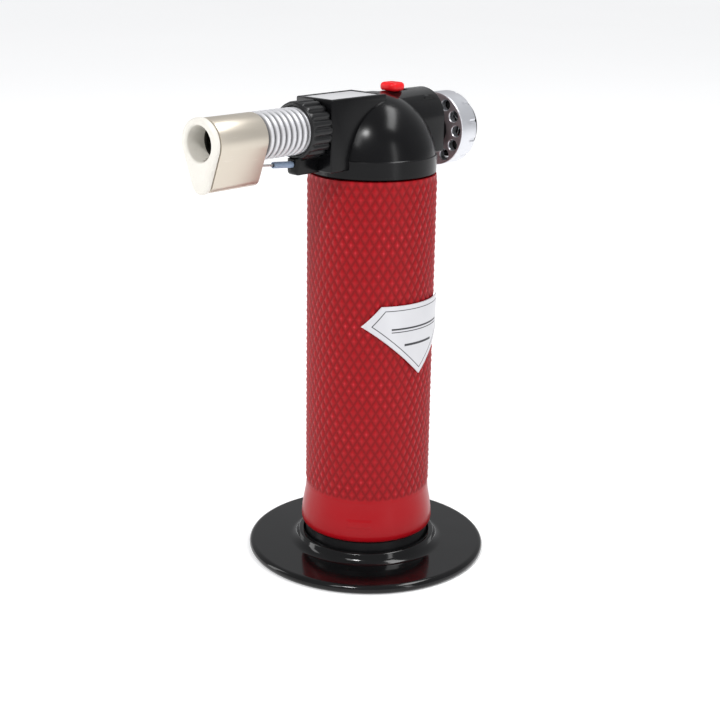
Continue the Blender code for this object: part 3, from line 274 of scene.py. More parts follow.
stand_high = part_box("stand_base")[1]
foot_low, foot_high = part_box("tank_foot_plug")
disc_r = stand_high.x
rim = 1.4 * MM
cup_r = foot_high.x + 0.6 * MM
ring_r = 21.4 * MM
ring_top = stand_high.z
floor_z = foot_low.z - 0.3 * MM
cup_round = 0.6 * MM
brow = 0.8 * MM
cove = 3.0 * MM
disc_rings = 8
disc = [(0.0, floor_z), (cup_r - 0.8 * MM, floor_z)]
disc += bend((cup_r - cup_round, floor_z + cup_round), cup_round, -90, 0, 4)
disc += bend((cup_r + 0.2 * MM, ring_top - 0.2 * MM), 0.2 * MM, 180, 90, 3)
disc += bend((cup_r + 0.9 * MM, ring_top - brow), brow, 75, 32, 6)
disc += bend((ring_r + 2.55 * MM, 2 * rim + cove), cove, 212, 270, 16)
ring_r = disc[-1][0]
disc += [(ring_r + (disc_r - ring_r) * i / disc_rings, 2 * rim) for i in range(1, disc_rings)]
disc += bend((disc_r - rim, rim), rim, 90, -60, 12)
disc += [(disc_r - rim, 0.0), (0.0, 0.0)]
stand_gloss = moulded("stand_gloss_black", (0.002, 0.002, 0.0022), 0.10, 0.04, 0.0012 * MM,
                      specular_ior_level=0.28)
hand_over(lathe("stand", disc, 160), stand_gloss, "stand", "black_plastic", "stand_base")

# The tank's foot --------------------------------------------------------------------------------
# A black moulded plug that closes the tank from below, with an O-ring in its groove. The brass
# filling valve is pressed into its middle.
foot_r = foot_high.x
plug_top = foot_high.z
seal_low, seal_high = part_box("tank_foot_seal")
plug_r = seal_high.x
groove_r = plug_r - 1.9 * MM
play = 0.3 * MM
brim_z = 8.6 * MM
bore_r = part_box("filler_valve_stem")[1].x + 1.55 * MM
foot = [(bore_r, plug_top), (plug_r - play, plug_top), (plug_r, plug_top - play)]
foot += [(plug_r, seal_high.z + play), (groove_r, seal_high.z + play)]
foot += [(groove_r, seal_low.z - play), (plug_r, seal_low.z - play)]
foot += [(plug_r, brim_z), (foot_r - play, brim_z), (foot_r, brim_z - play)]
foot += [(foot_r, foot_low.z + 0.6 * MM), (foot_r - 0.6 * MM, foot_low.z), (bore_r, foot_low.z)]
satin_black = moulded("satin_black", (0.005, 0.005, 0.0055), 0.30, specular_ior_level=0.35)
hand_over(lathe("tank_foot", foot, 96), satin_black, "torch", "black_plastic", "tank_foot_plug")

# The tank ---------------------------------------------------------------------------------------
# Drawn aluminium, lacquered red. Two sets of crossed rolls have embossed the grip with rows of
# blunt diamonds. Below it the wall is smooth and flares out to the foot.
shell_low, shell_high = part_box("tank_shell")
grip_r = 19.0 * MM
grip_low = 21.5 * MM
grip_high = shell_high.z - 0.6 * MM
diamonds = 44
courses = 22
cuts = 6
emboss = 0.48 * MM
course = (grip_high - grip_low) / courses
shoulder_r = grip_r - 0.15 * MM
wall_in = grip_r - 1.4 * MM
belly_r = shell_high.x
belly_z = 10.6 * MM
flare_r = 18.8 * MM
mouth_r = 14.6 * MM
roll_z = shell_high.z - 1.6 * MM
pad_turn = -54.0
pad_half = 11.5
pad_z = 14.7 * MM


def diamond_grip(angle, radius, height):
    """The embossed radius: rounded diamonds between sharp valleys, fading at the grip's ends."""
    if not grip_low - 0.01 * MM <= height <= grip_high + 0.01 * MM or radius < shoulder_r:
        return radius + maker_pad(angle, radius, height)
    across = angle / (2 * math.pi) * diamonds
    along = (height - grip_low) / course
    left = across + along
    right = across - along
    away = 2 * max(abs(left - round(left)), abs(right - round(right)))
    tip = 1.0 - away**1.15
    fade = min(1.0, (height - grip_low) / (0.35 * course), (grip_high - height) / (0.2 * course))
    valley = grip_r - emboss
    return valley + emboss * tip * fade + (1.0 - fade) * 0.20 * MM


def maker_pad(angle, radius, height):
    """A small plain pad, raised a hair on the flare, where a date would be stamped."""
    if radius < shoulder_r - 1.0 * MM:
        return 0.0
    turn = math.degrees(angle) - pad_turn
    across = min(1.0, max(0.0, (pad_half - abs(turn)) / 1.4))
    along = min(1.0, max(0.0, (1.25 * MM - abs(height - pad_z)) / (0.3 * MM)))
    return 0.10 * MM * across * along


shell = [(mouth_r, shell_high.z), (shoulder_r - 0.5 * MM, shell_high.z)]
shell += [(shoulder_r - 0.2 * MM, shell_high.z - 0.1 * MM)]
rows = courses * cuts
shell += [(grip_r, grip_high - (grip_high - grip_low) * i / rows) for i in range(rows + 1)]
flare_rows = 36
for i in range(1, flare_rows + 1):
    share = i / flare_rows
    height = grip_low - (grip_low - belly_z) * share
    radius = flare_r + (belly_r - flare_r) * math.sin(share * math.pi / 2) ** 1.6
    shell.append((radius, height))
shell += [(belly_r - 0.12 * MM, 9.7 * MM), (belly_r - 0.35 * MM, 9.2 * MM)]
shell += [(belly_r - 0.8 * MM, shell_low.z), (wall_in, shell_low.z)]
shell += [(wall_in, roll_z), (mouth_r, roll_z)]
tank = lathe("tank", shell, diamonds * cuts, diamond_grip)

lacquer = Finish("red_lacquer", (0.40, 0.003, 0.008), 0.38, coat_weight=0.06, coat_roughness=0.18,
                 specular_ior_level=0.16)
x_way = lacquer.node("ShaderNodeSeparateXYZ", {}, {"Vector": lacquer.place}, "X")
y_way = lacquer.node("ShaderNodeSeparateXYZ", {}, {"Vector": lacquer.place}, "Y")
z_way = lacquer.node("ShaderNodeSeparateXYZ", {}, {"Vector": lacquer.place}, "Z")
round_way = y_way.maths("ARCTAN2", x_way) * (diamonds / (2 * math.pi))
up_way = (z_way - grip_low) / course
from_tips = [(way + 0.5).maths("FLOORED_MODULO", 1.0) - 0.5 for way in
             (round_way + up_way, round_way - up_way)]
valley = from_tips[0].maths("ABSOLUTE").maths("MAXIMUM", from_tips[1].maths("ABSOLUTE")) * 2
on_grip = lacquer.step(z_way, grip_low, grip_low + 1 * MM)
# Painted shade: the valleys between the diamonds are darkened. Painted highlight: blotches on the
# diamond tips are lightened.
hollow = lacquer.step(valley, 0.30, 1.05) * on_grip
tip_highlight = (1.0 - lacquer.step(valley, 0.04, 0.42)) * on_grip
cloud = lacquer.grain(35.0, 3.0)
peel = lacquer.grain(900.0, 3.0)
highlight_blotches = lacquer.step(lacquer.grain(150.0, 4.0), 0.40, 0.75)
flat_red = lacquer.blend(cloud, (0.29, 0.002, 0.005), (0.35, 0.003, 0.008))
# The valleys get a darker red as painted shade, and the blotched tips a lighter red as painted
# highlight.
valley_shaded_red = lacquer.blend(hollow * 0.62, flat_red, (0.13, 0.001, 0.002))
lacquer.feed("Base Color", lacquer.blend(tip_highlight * highlight_blotches * 0.75, valley_shaded_red, (0.60, 0.03, 0.045)))
lacquer.feed("Roughness", 0.25 + cloud * 0.08 + hollow * 0.16 + on_grip * 0.08 + highlight_blotches * 0.04)
lacquer.relief(peel, 0.010 * MM)
hand_over(tank, lacquer.material, "torch", "red_grip", "tank_shell", angle=60.0)

# The name label ---------------------------------------------------------------------------------
# A silver foil shield, stuck round the grip on its right side, with a fine dark keyline inside its
# edge. Plain printed rules stand where a maker would put a name.
label_low, label_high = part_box("name_label")
label_r = 19.3 * MM
label_out = label_high.x
corner_z = 76.3 * MM
top_half = 11.9 * MM
shield = [(0.0, label_low.z), (label_high.y, corner_z), (top_half, label_high.z)]
shield += [(-top_half, label_high.z), (-label_high.y, corner_z)]
band_top, band_bottom = label_high.z + 1 * MM, label_low.z - 1 * MM
foil_band = [(label_r, band_top), (label_out, band_top)]
foil_band += [(label_out, band_bottom), (label_r, band_bottom)]
label = lathe("name_badge", foil_band, 240)


def prism(name, outline, start, end, axis):
    """A flat outline pushed out along X, or forward along the flame, from start to end."""
    made = drawn_line(name, [(a, b, start) for a, b in outline])
    bpy.ops.mesh.edge_face_add()
    bpy.ops.mesh.extrude_region_move(TRANSFORM_OT_translate={"value": (0.0, 0.0, end - start)})
    bpy.ops.mesh.select_all(action="SELECT")
    bpy.ops.mesh.normals_make_consistent(inside=False)
    bpy.ops.object.mode_set(mode="OBJECT")
    if axis == "X":
        made.data.transform(Matrix(((0, 0, 1, 0), (1, 0, 0, 0), (0, 1, 0, 0), (0, 0, 0, 1))))
    else:
        made.data.transform(Matrix.Rotation(math.pi / 2, 4, "X"))
    return made


def combine(piece, other, operation="DIFFERENCE", keep=False):
    """Cuts another shape out of a piece, or merges it in, and puts the other shape away."""
    modifier = piece.modifiers.new("cut", "BOOLEAN")
    modifier.operation = operation
    modifier.object = other
    modifier.solver = "EXACT"
    bpy.ops.object.select_all(action="DESELECT")
    bpy.context.view_layer.objects.active = piece
    piece.select_set(True)
    bpy.ops.object.modifier_apply(modifier=modifier.name)
    if not keep:
        bpy.data.objects.remove(other, do_unlink=True)


def soften(piece, width, segments=2, angle=30.0):
    """Rounds the piece's sharp edges."""
    modifier = piece.modifiers.new("round_edges", "BEVEL")
    modifier.width = width
    modifier.segments = segments
    modifier.limit_method = "ANGLE"
    modifier.angle_limit = math.radians(angle)
    bpy.ops.object.select_all(action="DESELECT")
    bpy.context.view_layer.objects.active = piece
    piece.select_set(True)
    bpy.ops.object.modifier_apply(modifier=modifier.name)


combine(label, prism("shield_cutter", shield, 4.0 * MM, 30.0 * MM, "X"), "INTERSECT")

foil = Finish("silver_foil", (0.80, 0.80, 0.82), 0.32, 0.25)
spot = foil.node("ShaderNodeSeparateXYZ", {}, {"Vector": foil.place}, "Y")
rise = foil.node("ShaderNodeSeparateXYZ", {}, {"Vector": foil.place}, "Z")
depths = []
for (y1, z1), (y2, z2) in zip(shield, [*shield[1:], shield[0]]):
    length = math.hypot(y2 - y1, z2 - z1)
    depths.append((rise - z1) * ((y2 - y1) / length) - (spot - y1) * ((z2 - z1) / length))
edge = depths[0]
for depth in depths[1:]:
    edge = edge.maths("MINIMUM", depth)
keyline = 1.0 - foil.step((edge - 1.35 * MM).maths("ABSOLUTE"), 0.07 * MM, 0.16 * MM)
reach = spot.maths("ABSOLUTE")
rules = foil.node("ShaderNodeValue")
rules.socket.default_value = 0.0
for height, half, thick in ((75.4 * MM, 9.5 * MM, 0.22 * MM), (74.5 * MM, 9.5 * MM, 0.10 * MM),
                            (70.4 * MM, 5.6 * MM, 0.30 * MM)):
    band = 1.0 - foil.step((rise - height).maths("ABSOLUTE"), thick, thick + 0.08 * MM)
    rules = rules.maths("MAXIMUM", band * (1.0 - foil.step(reach, half, half + 0.1 * MM)))
ink = keyline.maths("MAXIMUM", rules)
speckle = foil.grain(3000.0, 2.0)
silver = foil.blend(foil.grain(60.0), (0.52, 0.52, 0.55), (0.64, 0.64, 0.655))
foil.feed("Base Color", foil.blend(ink, silver, (0.035, 0.035, 0.04)))
foil.feed("Roughness", 0.26 + speckle * 0.16 + ink * 0.2)
foil.relief(foil.grain(140.0, 3.0) + speckle * 0.15, 0.02 * MM)
hand_over(label, foil.material, "torch", "silver_label", "name_label", angle=40.0)

# The head's two halves --------------------------------------------------------------------------
# Glossy black mouldings that meet on the torch's middle plane and are screwed together from the
# left: a dome over the tank, a square box in front, a tunnel behind, a neck, and a short ledge.
half_low, half_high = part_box("housing_left")
half_low.y = min(half_low.y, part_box("housing_right")[0].y)
wall = 1.6 * MM
dome_r = 18.5 * MM
dome_h = 19.9 * MM
dome_z = 121.0 * MM
skirt_r = -half_low.x
seam_z = 123.7 * MM
box_half = 6.9 * MM
box_front = -24.4 * MM
box_top = half_high.z
arch_half = 8.6 * MM
arch_z = 132.1 * MM
arch_rear = 22.0 * MM
knob_z = (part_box("gas_flow_ring")[0].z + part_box("gas_flow_ring")[1].z) / 2
burner_z = (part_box("air_collar")[0].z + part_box("air_collar")[1].z) / 2


def slab(name, low, high, round_by=0.0, segments=3):
    """A block between two corners, with its edges rounded."""
    size = [b - a for a, b in zip(low, high)]
    bpy.ops.object.select_all(action="DESELECT")
    bpy.ops.mesh.primitive_cube_add(size=1.0, location=[(a + b) / 2 for a, b in zip(low, high)])
    made = bpy.context.object
    made.name = name
    made.scale = size
    bpy.ops.object.transform_apply(location=True, rotation=True, scale=True)
    if round_by:
        soften(made, round_by, segments)
    return made


def dowel(name, radius, start, end, axis, sides=48):
    """A cylinder from one point along an axis, X, Y or Z, to another height on it."""
    turns = {"X": (0.0, math.pi / 2, 0.0), "Y": (math.pi / 2, 0.0, 0.0), "Z": (0.0, 0.0, 0.0)}
    index = "XYZ".index(axis)
    middle = list(start)
    middle[index] = (start[index] + end) / 2
    bpy.ops.object.select_all(action="DESELECT")
    bpy.ops.mesh.primitive_cylinder_add(
        vertices=sides, radius=radius, depth=abs(end - start[index]), location=middle,
        rotation=turns[axis],
    )
    made = bpy.context.object
    made.name = name
    bpy.ops.object.transform_apply(location=True, rotation=True, scale=True)
    made.data.transform(Matrix.Translation(middle) @ Matrix.Rotation(0.031, 4, axis)
                        @ Matrix.Translation([-m for m in middle]))
    return made


def tunnel(half, bottom, count):
    """A half circle on straight sides, seen along the flame."""
    sides = [(half * math.cos(a), arch_z + half * math.sin(a))
             for a in (math.pi * i / count for i in range(count + 1))]
    return [*sides, (-half, bottom), (half, bottom)]


def dome_points(radius, height, base, count):
    """The dome's side from its top to a height."""
    last = math.acos((base - dome_z) / height)
    return [(radius * math.sin(last * i / count), dome_z + height * math.cos(last * i / count))
            for i in range(count + 1)]


dome = dome_points(dome_r, dome_h, seam_z, 28)
dome += [(skirt_r - 0.12 * MM, seam_z - 0.12 * MM), (skirt_r, seam_z - 0.3 * MM)]
dome += [(skirt_r, half_low.z + 0.3 * MM), (skirt_r - 0.3 * MM, half_low.z), (0.0, half_low.z)]
dome[0] = (0.0, dome[0][1])
head = lathe("head", dome, 128)
tunnel_body = prism("tunnel_body", tunnel(arch_half, 122.5 * MM, 47), -arch_rear, -1.0 * MM, "Y")
soften(tunnel_body, 0.35 * MM, 3, 50.0)
neck_root, neck_step, neck_end = -21.0 * MM, -27.1 * MM, -30.7 * MM
neck_thick_r, neck_r, snap_r = 5.1 * MM, 4.4 * MM, 4.9 * MM
neck = [(0.0, neck_root), (neck_thick_r, neck_root), (neck_thick_r, neck_step), (neck_r, neck_step)]
neck += [(neck_r, neck_end + 1.0 * MM), (snap_r, neck_end + 0.7 * MM)]
neck += [(snap_r, neck_end + 0.3 * MM), (snap_r - 0.3 * MM, neck_end), (0.0, neck_end)]
ledge_half = 1.6 * MM
ledge = slab("ledge", (-ledge_half, half_low.y + 0.1 * MM, 120.7 * MM),
             (ledge_half, -20.4 * MM, 125.6 * MM))
bpy.ops.object.mode_set(mode="EDIT")
bpy.ops.mesh.select_mode(type="EDGE")
bpy.ops.mesh.select_all(action="DESELECT")
shape = bmesh.from_edit_mesh(ledge.data)
for ledge_edge in shape.edges:
    ledge_edge.select_set(all(v.co.y < -30 * MM and v.co.z < 122 * MM for v in ledge_edge.verts))
bmesh.update_edit_mesh(ledge.data)
bpy.ops.mesh.bevel(offset=1.3 * MM, segments=7)
bpy.ops.object.mode_set(mode="OBJECT")
soften(ledge, 0.25 * MM, 2, 50.0)
for part in (
    slab("front_box", (-box_half, box_front, dome_z), (box_half, -2.0 * MM, box_top), 0.45 * MM),
    tunnel_body,
    lathe("neck", neck, 80, forward=True, at=(0.0, 0.0, knob_z)),
    ledge,
):
    combine(head, part, "UNION")

floor_top = half_low.z + 1.7 * MM
floor_hole_r = 12.3 * MM
room = dome_points(dome_r - wall, dome_h - wall, floor_top + 1.01 * MM, 20)
room[0] = (0.0, room[0][1])
room += [(16.8 * MM, floor_top), (floor_hole_r, floor_top), (floor_hole_r, floor_top - 3 * MM)]
room += [(0.0, floor_top - 3 * MM)]
for hollow in (
    lathe("room", room, 61),
    slab("box_room", (-box_half + wall, box_front + wall, 122.2 * MM),
         (box_half - wall, 0.0, box_top - 2.3 * MM), 0.2 * MM, 1),
    prism("tunnel_room", tunnel(arch_half - wall, 124.1 * MM, 23), -arch_rear + wall, 0.3 * MM,
          "Y"),
    dowel("neck_bore", 2.9 * MM, (0.0, 18.0 * MM, knob_z), 31.7 * MM, "Y"),
    dowel("burner_hole", 3.7 * MM, (0.0, -20.4 * MM, burner_z), -26.4 * MM, "Y"),
    dowel("saddle", 8.3 * MM, (0.0, box_front, burner_z), -30.9 * MM, "Y", 96),
    dowel("throat", 7.7 * MM, (0.0, -30.7 * MM, burner_z), -33.9 * MM, "Y", 80),
):
    combine(head, hollow)

tube_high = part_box("electrode_insulator")[1]
tube_start = Vector((0.0, -25.8 * MM, 123.1 * MM))
tube_end = Vector((0.0, -40.0 * MM, 124.35 * MM))
tube_tilt = (tube_end - tube_start).to_track_quat("Z", "Y").to_matrix().to_4x4()
channel = dowel("tube_channel", 1.05 * MM, (0.0, 0.0, -5.0 * MM), 16.0 * MM, "Z", 32)
channel.data.transform(Matrix.Translation(tube_start) @ tube_tilt)
combine(head, channel)

screws = ((-18.5 * MM, 126.8 * MM), (-18.4 * MM, 137.4 * MM), (17.0 * MM, 136.9 * MM))
pin_y, pin_z = -4.6 * MM, 123.3 * MM
for y, z in screws:
    combine(head, dowel("boss", 2.2 * MM, (-6.4 * MM, y, z), 6.4 * MM, "X"), "UNION")
jet_rib = slab("jet_rib", (-6.1 * MM, -15.4 * MM, 128.6 * MM), (6.1 * MM, -14.0 * MM, 136.8 * MM))
combine(head, jet_rib, "UNION")
for side in (-1, 1):
    pin_end = (side * 3.9 * MM, pin_y, pin_z)
    combine(head, dowel("pin_boss", 1.7 * MM, pin_end, side * 16.9 * MM, "X", 32), "UNION")
slide_y = 8.0 * MM
for y, z in screws:
    combine(head, dowel("screw_hole", 1.2 * MM, (-9.0 * MM, y, z), 5.2 * MM, "X", 24))
    combine(head, dowel("screw_recess", 2.05 * MM, (-12.0 * MM, y, z), -5.5 * MM, "X", 40))
combine(head, dowel("jet_seat", 2.5 * MM, (0.0, -13.0 * MM, burner_z), -16.5 * MM, "Y"))
combine(head, dowel("pin_bore", 1.0 * MM, (-8.5 * MM, pin_y, pin_z), 8.5 * MM, "X", 24))
combine(head, slab("slide_slot", (-1.7 * MM, slide_y - 1.9 * MM, 138.1 * MM),
                   (1.7 * MM, slide_y + 4.9 * MM, 144.0 * MM)))
plate_low, plate_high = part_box("top_plate")
recess_low = [v - play for v in plate_low]
recess_high = (plate_high.x + play, plate_high.y + play, box_top + 1 * MM)
combine(head, slab("plate_recess", recess_low, recess_high))

head_black = moulded("head_black", (0.0018, 0.0018, 0.0022), 0.20, 0.05, 0.003 * MM,
                     specular_ior_level=0.20)
split = 0.03 * MM
far = 90.0 * MM
for side, start, end in (("left", -split, far), ("right", -far, split)):
    bpy.ops.object.select_all(action="DESELECT")
    half = head.copy()
    half.data = head.data.copy()
    half.name = "head_" + side
    bpy.context.collection.objects.link(half)
    combine(half, slab("other_half", (start, -far, 50.0 * MM), (end, far, 200.0 * MM)))
    hand_over(half, head_black, "torch", "black_plastic", "housing_" + side, angle=26.0)
bpy.data.objects.remove(head, do_unlink=True)

# The screws -------------------------------------------------------------------------------------
# Three bright self-tapping screws with cross recesses, driven in from the left half into the
# bosses of the right one.
bright = Finish("bright_steel", (0.60, 0.61, 0.63), 0.28, 1.0)
turning = bright.grain(1500.0, 2.0)
bright.feed("Roughness", 0.20 + turning * 0.2)
bright.feed("Base Color", bright.blend(bright.grain(300.0), (0.50, 0.51, 0.53), (0.68, 0.69, 0.71)))
bright.relief(turning, 0.004 * MM)
seat = 5.65 * MM
thread_r, core_r = 0.9 * MM, 0.62 * MM
pitch = 0.72 * MM
arm_long, arm_thin = 1.15 * MM, 0.22 * MM
for number, (y, z) in enumerate(screws, 1):
    driver = [(0.0, seat + 1.0 * MM), (thread_r, seat + 0.95 * MM)]
    driver += bend((1.15 * MM, seat + 0.4 * MM), 0.6 * MM, 65, 0, 4)
    driver += [(1.75 * MM, seat), (thread_r, seat)]
    for turn in range(12):
        at = seat - 0.6 * MM - turn * pitch
        driver += [(core_r, at + pitch / 4), (thread_r, at), (core_r, at - pitch / 4)]
    driver += [(0.2 * MM, -4.7 * MM), (0.0, -4.8 * MM)]
    screw = lathe(f"head_screw_{number}", driver, 32)
    for x_arm, y_arm in ((arm_long, arm_thin), (arm_thin, arm_long)):
        cross = slab("cross", (-x_arm, -y_arm, seat + 0.4 * MM), (x_arm, y_arm, seat + 2 * MM))
        combine(screw, cross)
    screw.data.transform(Matrix.Translation((0.0, y, z)) @ Matrix.Rotation(-math.pi / 2, 4, "Y"))
    hand_over(screw, bright.material, "torch", "spring_steel", f"housing_screw_{number}")

# The top plate ----------------------------------------------------------------------------------
# A thin silver panel with rounded corners, glued into a recess on the box's flat top.
plate = slab("top_panel", plate_low, plate_high)
soften(plate, 0.18 * MM, 3)
panel_silver = Finish("panel_silver", (0.70, 0.70, 0.72), 0.38, 0.35)
brushing = panel_silver.grain(500.0, 4.0, (14.0, 0.5, 1.0))
shade = panel_silver.blend(brushing, (0.64, 0.64, 0.66), (0.76, 0.76, 0.77))
panel_silver.feed("Base Color", shade)
panel_silver.feed("Roughness", 0.28 + brushing * 0.16)
panel_silver.relief(brushing, 0.004 * MM)
hand_over(plate, panel_silver.material, "torch", "silver_label", "top_plate")

# The lock slide ---------------------------------------------------------------------------------
# A bright red moulding: an oval cap with thumb ridges, a neck through the roof's slot, and a foot
# that keeps it in.
cap_low, cap_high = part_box("lock_slide")
slide = slab("lock_slide_cap", (cap_low.x, slide_y - 3.0 * MM, 140.5 * MM),
             (cap_high.x, slide_y + 3.0 * MM, cap_high.z))
bpy.ops.object.mode_set(mode="EDIT")
bpy.ops.mesh.select_mode(type="EDGE")
bpy.ops.mesh.select_all(action="DESELECT")
shape = bmesh.from_edit_mesh(slide.data)
for corner in shape.edges:
    corner.select_set(abs(corner.verts[0].co.z - corner.verts[1].co.z) > 1 * MM)
bmesh.update_edit_mesh(slide.data)
bpy.ops.mesh.bevel(offset=1.9 * MM, segments=8)
bpy.ops.object.mode_set(mode="OBJECT")
soften(slide, 1.05 * MM, 6, 50.0)
for ridge in range(6):
    groove = (-4 * MM, slide_y + (ridge - 2.5) * 0.86 * MM, cap_high.z + 0.02 * MM)
    combine(slide, dowel("ridge_groove", 0.30 * MM, groove, 4 * MM, "X", 14))
combine(slide, dowel("roof_curve", arch_half + 0.12 * MM, (0.0, 0.0, arch_z), 16.0 * MM, "Y", 160))
for across, along, low, high in (
    (1.4 * MM, 1.6 * MM, 138.5 * MM, 141.6 * MM),
    (2.2 * MM, 2.2 * MM, 137.0 * MM, 138.6 * MM),
    (1.2 * MM, 1.2 * MM, cap_low.z, 137.2 * MM),
):
    stem = slab("slide_stem", (-across, slide_y - along, low), (across, slide_y + along, high),
                0.12 * MM, 2)
    combine(slide, stem, "UNION")
signal_red = moulded("signal_red", (0.62, 0.006, 0.010), 0.32, 0.05, 0.003 * MM,
                     specular_ior_level=0.25)
hand_over(slide, signal_red, "lock", "red_plastic", "lock_slide")

# The air collar ---------------------------------------------------------------------------------
# A black moulded ring that turns on the mixing tube. Its back is ribbed for the fingers, and its
# front rounds over to the mouth that the finned tube runs into.
collar_back = 24.7 * MM
collar_front = -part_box("air_collar")[0].y
rib_count = 20
mouth_lip = collar_front - 0.6 * MM
rib_end = mouth_lip - 1.1 * MM
collar_r = 8.0 * MM
collar_mouth_r = 6.85 * MM
tube_hole_r = 3.7 * MM
collar_seat = 30.2 * MM


def ribbed(angle, radius, height):
    """Finger ribs round the collar, with rounded tops and narrow valleys between them."""
    if radius < 7.3 * MM or height > rib_end + 0.5 * MM:
        return radius
    wave = 0.5 - 0.5 * math.cos(angle * rib_count)
    fade = min(1.0, max(0.0, (rib_end + 0.5 * MM - height) / (0.7 * MM)))
    return radius - 0.62 * MM * fade * wave**2.5


collar = [(collar_mouth_r, mouth_lip), (7.1 * MM, mouth_lip)]
collar += bend((7.1 * MM, rib_end + 0.4 * MM), 0.7 * MM, 80, 15, 4)
collar += [(7.95 * MM, rib_end), (collar_r, rib_end - 0.4 * MM)]
collar += [(collar_r, rib_end - 0.4 * MM - 5.7 * MM * i / 8) for i in range(1, 9)]
collar += [(7.85 * MM, 24.95 * MM), (7.5 * MM, collar_back), (tube_hole_r, collar_back)]
collar += [(tube_hole_r, collar_seat), (collar_mouth_r, collar_seat)]
collar_black = moulded("collar_black", (0.005, 0.005, 0.0055), 0.30, 0.06, 0.006 * MM,
                       specular_ior_level=0.35)
ring = lathe("collar", collar, rib_count * 16, ribbed, forward=True, at=(0.0, 0.0, burner_z))
hand_over(ring, collar_black, "collar", "black_plastic", "air_collar", angle=40.0)

# The finned tube --------------------------------------------------------------------------------
# A light alloy casting that slips over the mixing tube and keeps the burner's heat from the head:
# round-edged fins, turned bright, with a plain spigot that holds the nozzle's sleeve.
sink_low, sink_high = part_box("heat_sink_tube")
fin_r = sink_high.x
fin_root = 5.5 * MM
fin_pitch = 2.03 * MM
fins = 8
fin_round = 0.62 * MM
first = 30.6 * MM
sink_front = -sink_low.y
sink = [(tube_hole_r, first), (fin_root, first)]
for fin in range(fins):
    base = first + fin_pitch * fin
    sink += [(fin_root, base + 0.12 * MM)]
    sink += bend((fin_r - fin_round, base + fin_pitch / 2), fin_round, -90, 90, 8)
    sink += [(fin_root, base + fin_pitch - 0.12 * MM)]
spigot_r = 5.65 * MM
sink += [(spigot_r, first + fin_pitch * fins + 0.4 * MM), (spigot_r, sink_front - 0.2 * MM)]
sink += [(spigot_r - 0.2 * MM, sink_front), (tube_hole_r, sink_front)]
alloy = Finish("cast_alloy", (0.66, 0.66, 0.68), 0.40, 0.45)
cast = alloy.grain(1600.0, 4.0)
soot = alloy.step(alloy.grain(120.0, 4.0), 0.45, 0.85)
out_way = alloy.node("ShaderNodeSeparateXYZ", {}, {"Vector": alloy.place}, "X")
high_way = alloy.node("ShaderNodeSeparateXYZ", {}, {"Vector": alloy.place}, "Z") - burner_z
reach_out = (out_way * out_way + high_way * high_way).maths("SQRT")
# The fins are painted near-black towards their roots, as painted shade in the gaps between them.
fin_root_shade = 1.0 - alloy.step(reach_out, fin_root, fin_r - 0.15 * MM)
fin_grey = alloy.blend(soot * 0.3, (0.64, 0.64, 0.66), (0.48, 0.47, 0.46))
alloy.feed("Base Color", alloy.blend(fin_root_shade * 0.9, fin_grey, (0.13, 0.13, 0.135)))
alloy.feed("Roughness", 0.34 + cast * 0.18)
alloy.relief(cast, 0.010 * MM)
fin_tube = lathe("finned_tube", sink[::-1], 96, forward=True, at=(0.0, 0.0, burner_z))
hand_over(fin_tube, alloy.material, "torch", "cast_alloy", "heat_sink_tube", angle=45.0)

# The nozzle -------------------------------------------------------------------------------------
# A white ceramic mouth, drop-shaped so that the spark rod has room under the flame, with a rounded
# flange. Its spigot sits in a sleeve of thin stainless steel, bent round the same outline.
mouth_low, mouth_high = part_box("nozzle_mouth")
sleeve_low, sleeve_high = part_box("nozzle_sleeve")
sleeve_r = sleeve_high.x
tip_r = 2.9 * MM
tip_drop = 10.1 * MM


def drop(inset, big=72, small=24):
    """The drop outline round the burner's axis, a little inside or outside the sleeve's."""
    lean = math.asin((sleeve_r - tip_r) / tip_drop)
    round_top = [-lean + (math.pi + 2 * lean) * i / big for i in range(big + 1)]
    round_tip = [math.pi + lean + (math.pi - 2 * lean) * i / small for i in range(small + 1)]
    large, tip = sleeve_r - inset, tip_r - inset
    points = [(large * math.cos(a), burner_z + large * math.sin(a)) for a in round_top]
    points += [(tip * math.cos(a), burner_z - tip_drop + tip * math.sin(a)) for a in round_tip]
    return points


flange_back = -mouth_low.y - 2.0 * MM
ceramic_back = -mouth_high.y
mouth = prism("ceramic_mouth", drop(-0.25 * MM), flange_back, -mouth_low.y, "Y")
soften(mouth, 0.75 * MM, 4, 60.0)
spigot = prism("mouth_spigot", drop(0.8 * MM), ceramic_back, flange_back + 1.0 * MM, "Y")
combine(mouth, spigot, "UNION")
bore = [(0.0, ceramic_back - 1 * MM), (4.6 * MM, ceramic_back - 1 * MM), (4.7 * MM, 65.2 * MM)]
bore += bend((5.35 * MM, 65.75 * MM), 0.65 * MM, 180, 90, 6)
bore += [(5.6 * MM, 67.4 * MM), (0.0, 67.4 * MM)]
combine(mouth, lathe("mouth_bore", bore, 90, forward=True, at=(0.0, 0.0, burner_z)))
spark_y = -63.4 * MM
rod_room = 0.9 * MM
combine(mouth, slab("rod_way", (-rod_room, spark_y - rod_room, 124.2 * MM),
                    (rod_room, -ceramic_back + 1 * MM, 125.8 * MM)))
combine(mouth, dowel("rod_shaft", rod_room, (0.0, spark_y, 124.6 * MM), 130.0 * MM, "Z", 24))
ceramic = Finish("fired_ceramic", (0.80, 0.78, 0.73), 0.42, coat_weight=0.15, coat_roughness=0.3)
fired = ceramic.grain(140.0, 4.0)
pores = ceramic.step(ceramic.grain(2400.0, 2.0), 0.60, 0.75)
warm = ceramic.blend(fired, (0.78, 0.76, 0.70), (0.68, 0.65, 0.59))
ceramic.feed("Base Color", ceramic.blend(pores * 0.25, warm, (0.50, 0.47, 0.42)))
ceramic.feed("Roughness", 0.36 + fired * 0.16)
ceramic.relief(fired * 0.5 - pores, 0.012 * MM)
hand_over(mouth, ceramic.material, "torch", "white_ceramic", "nozzle_mouth", angle=35.0)

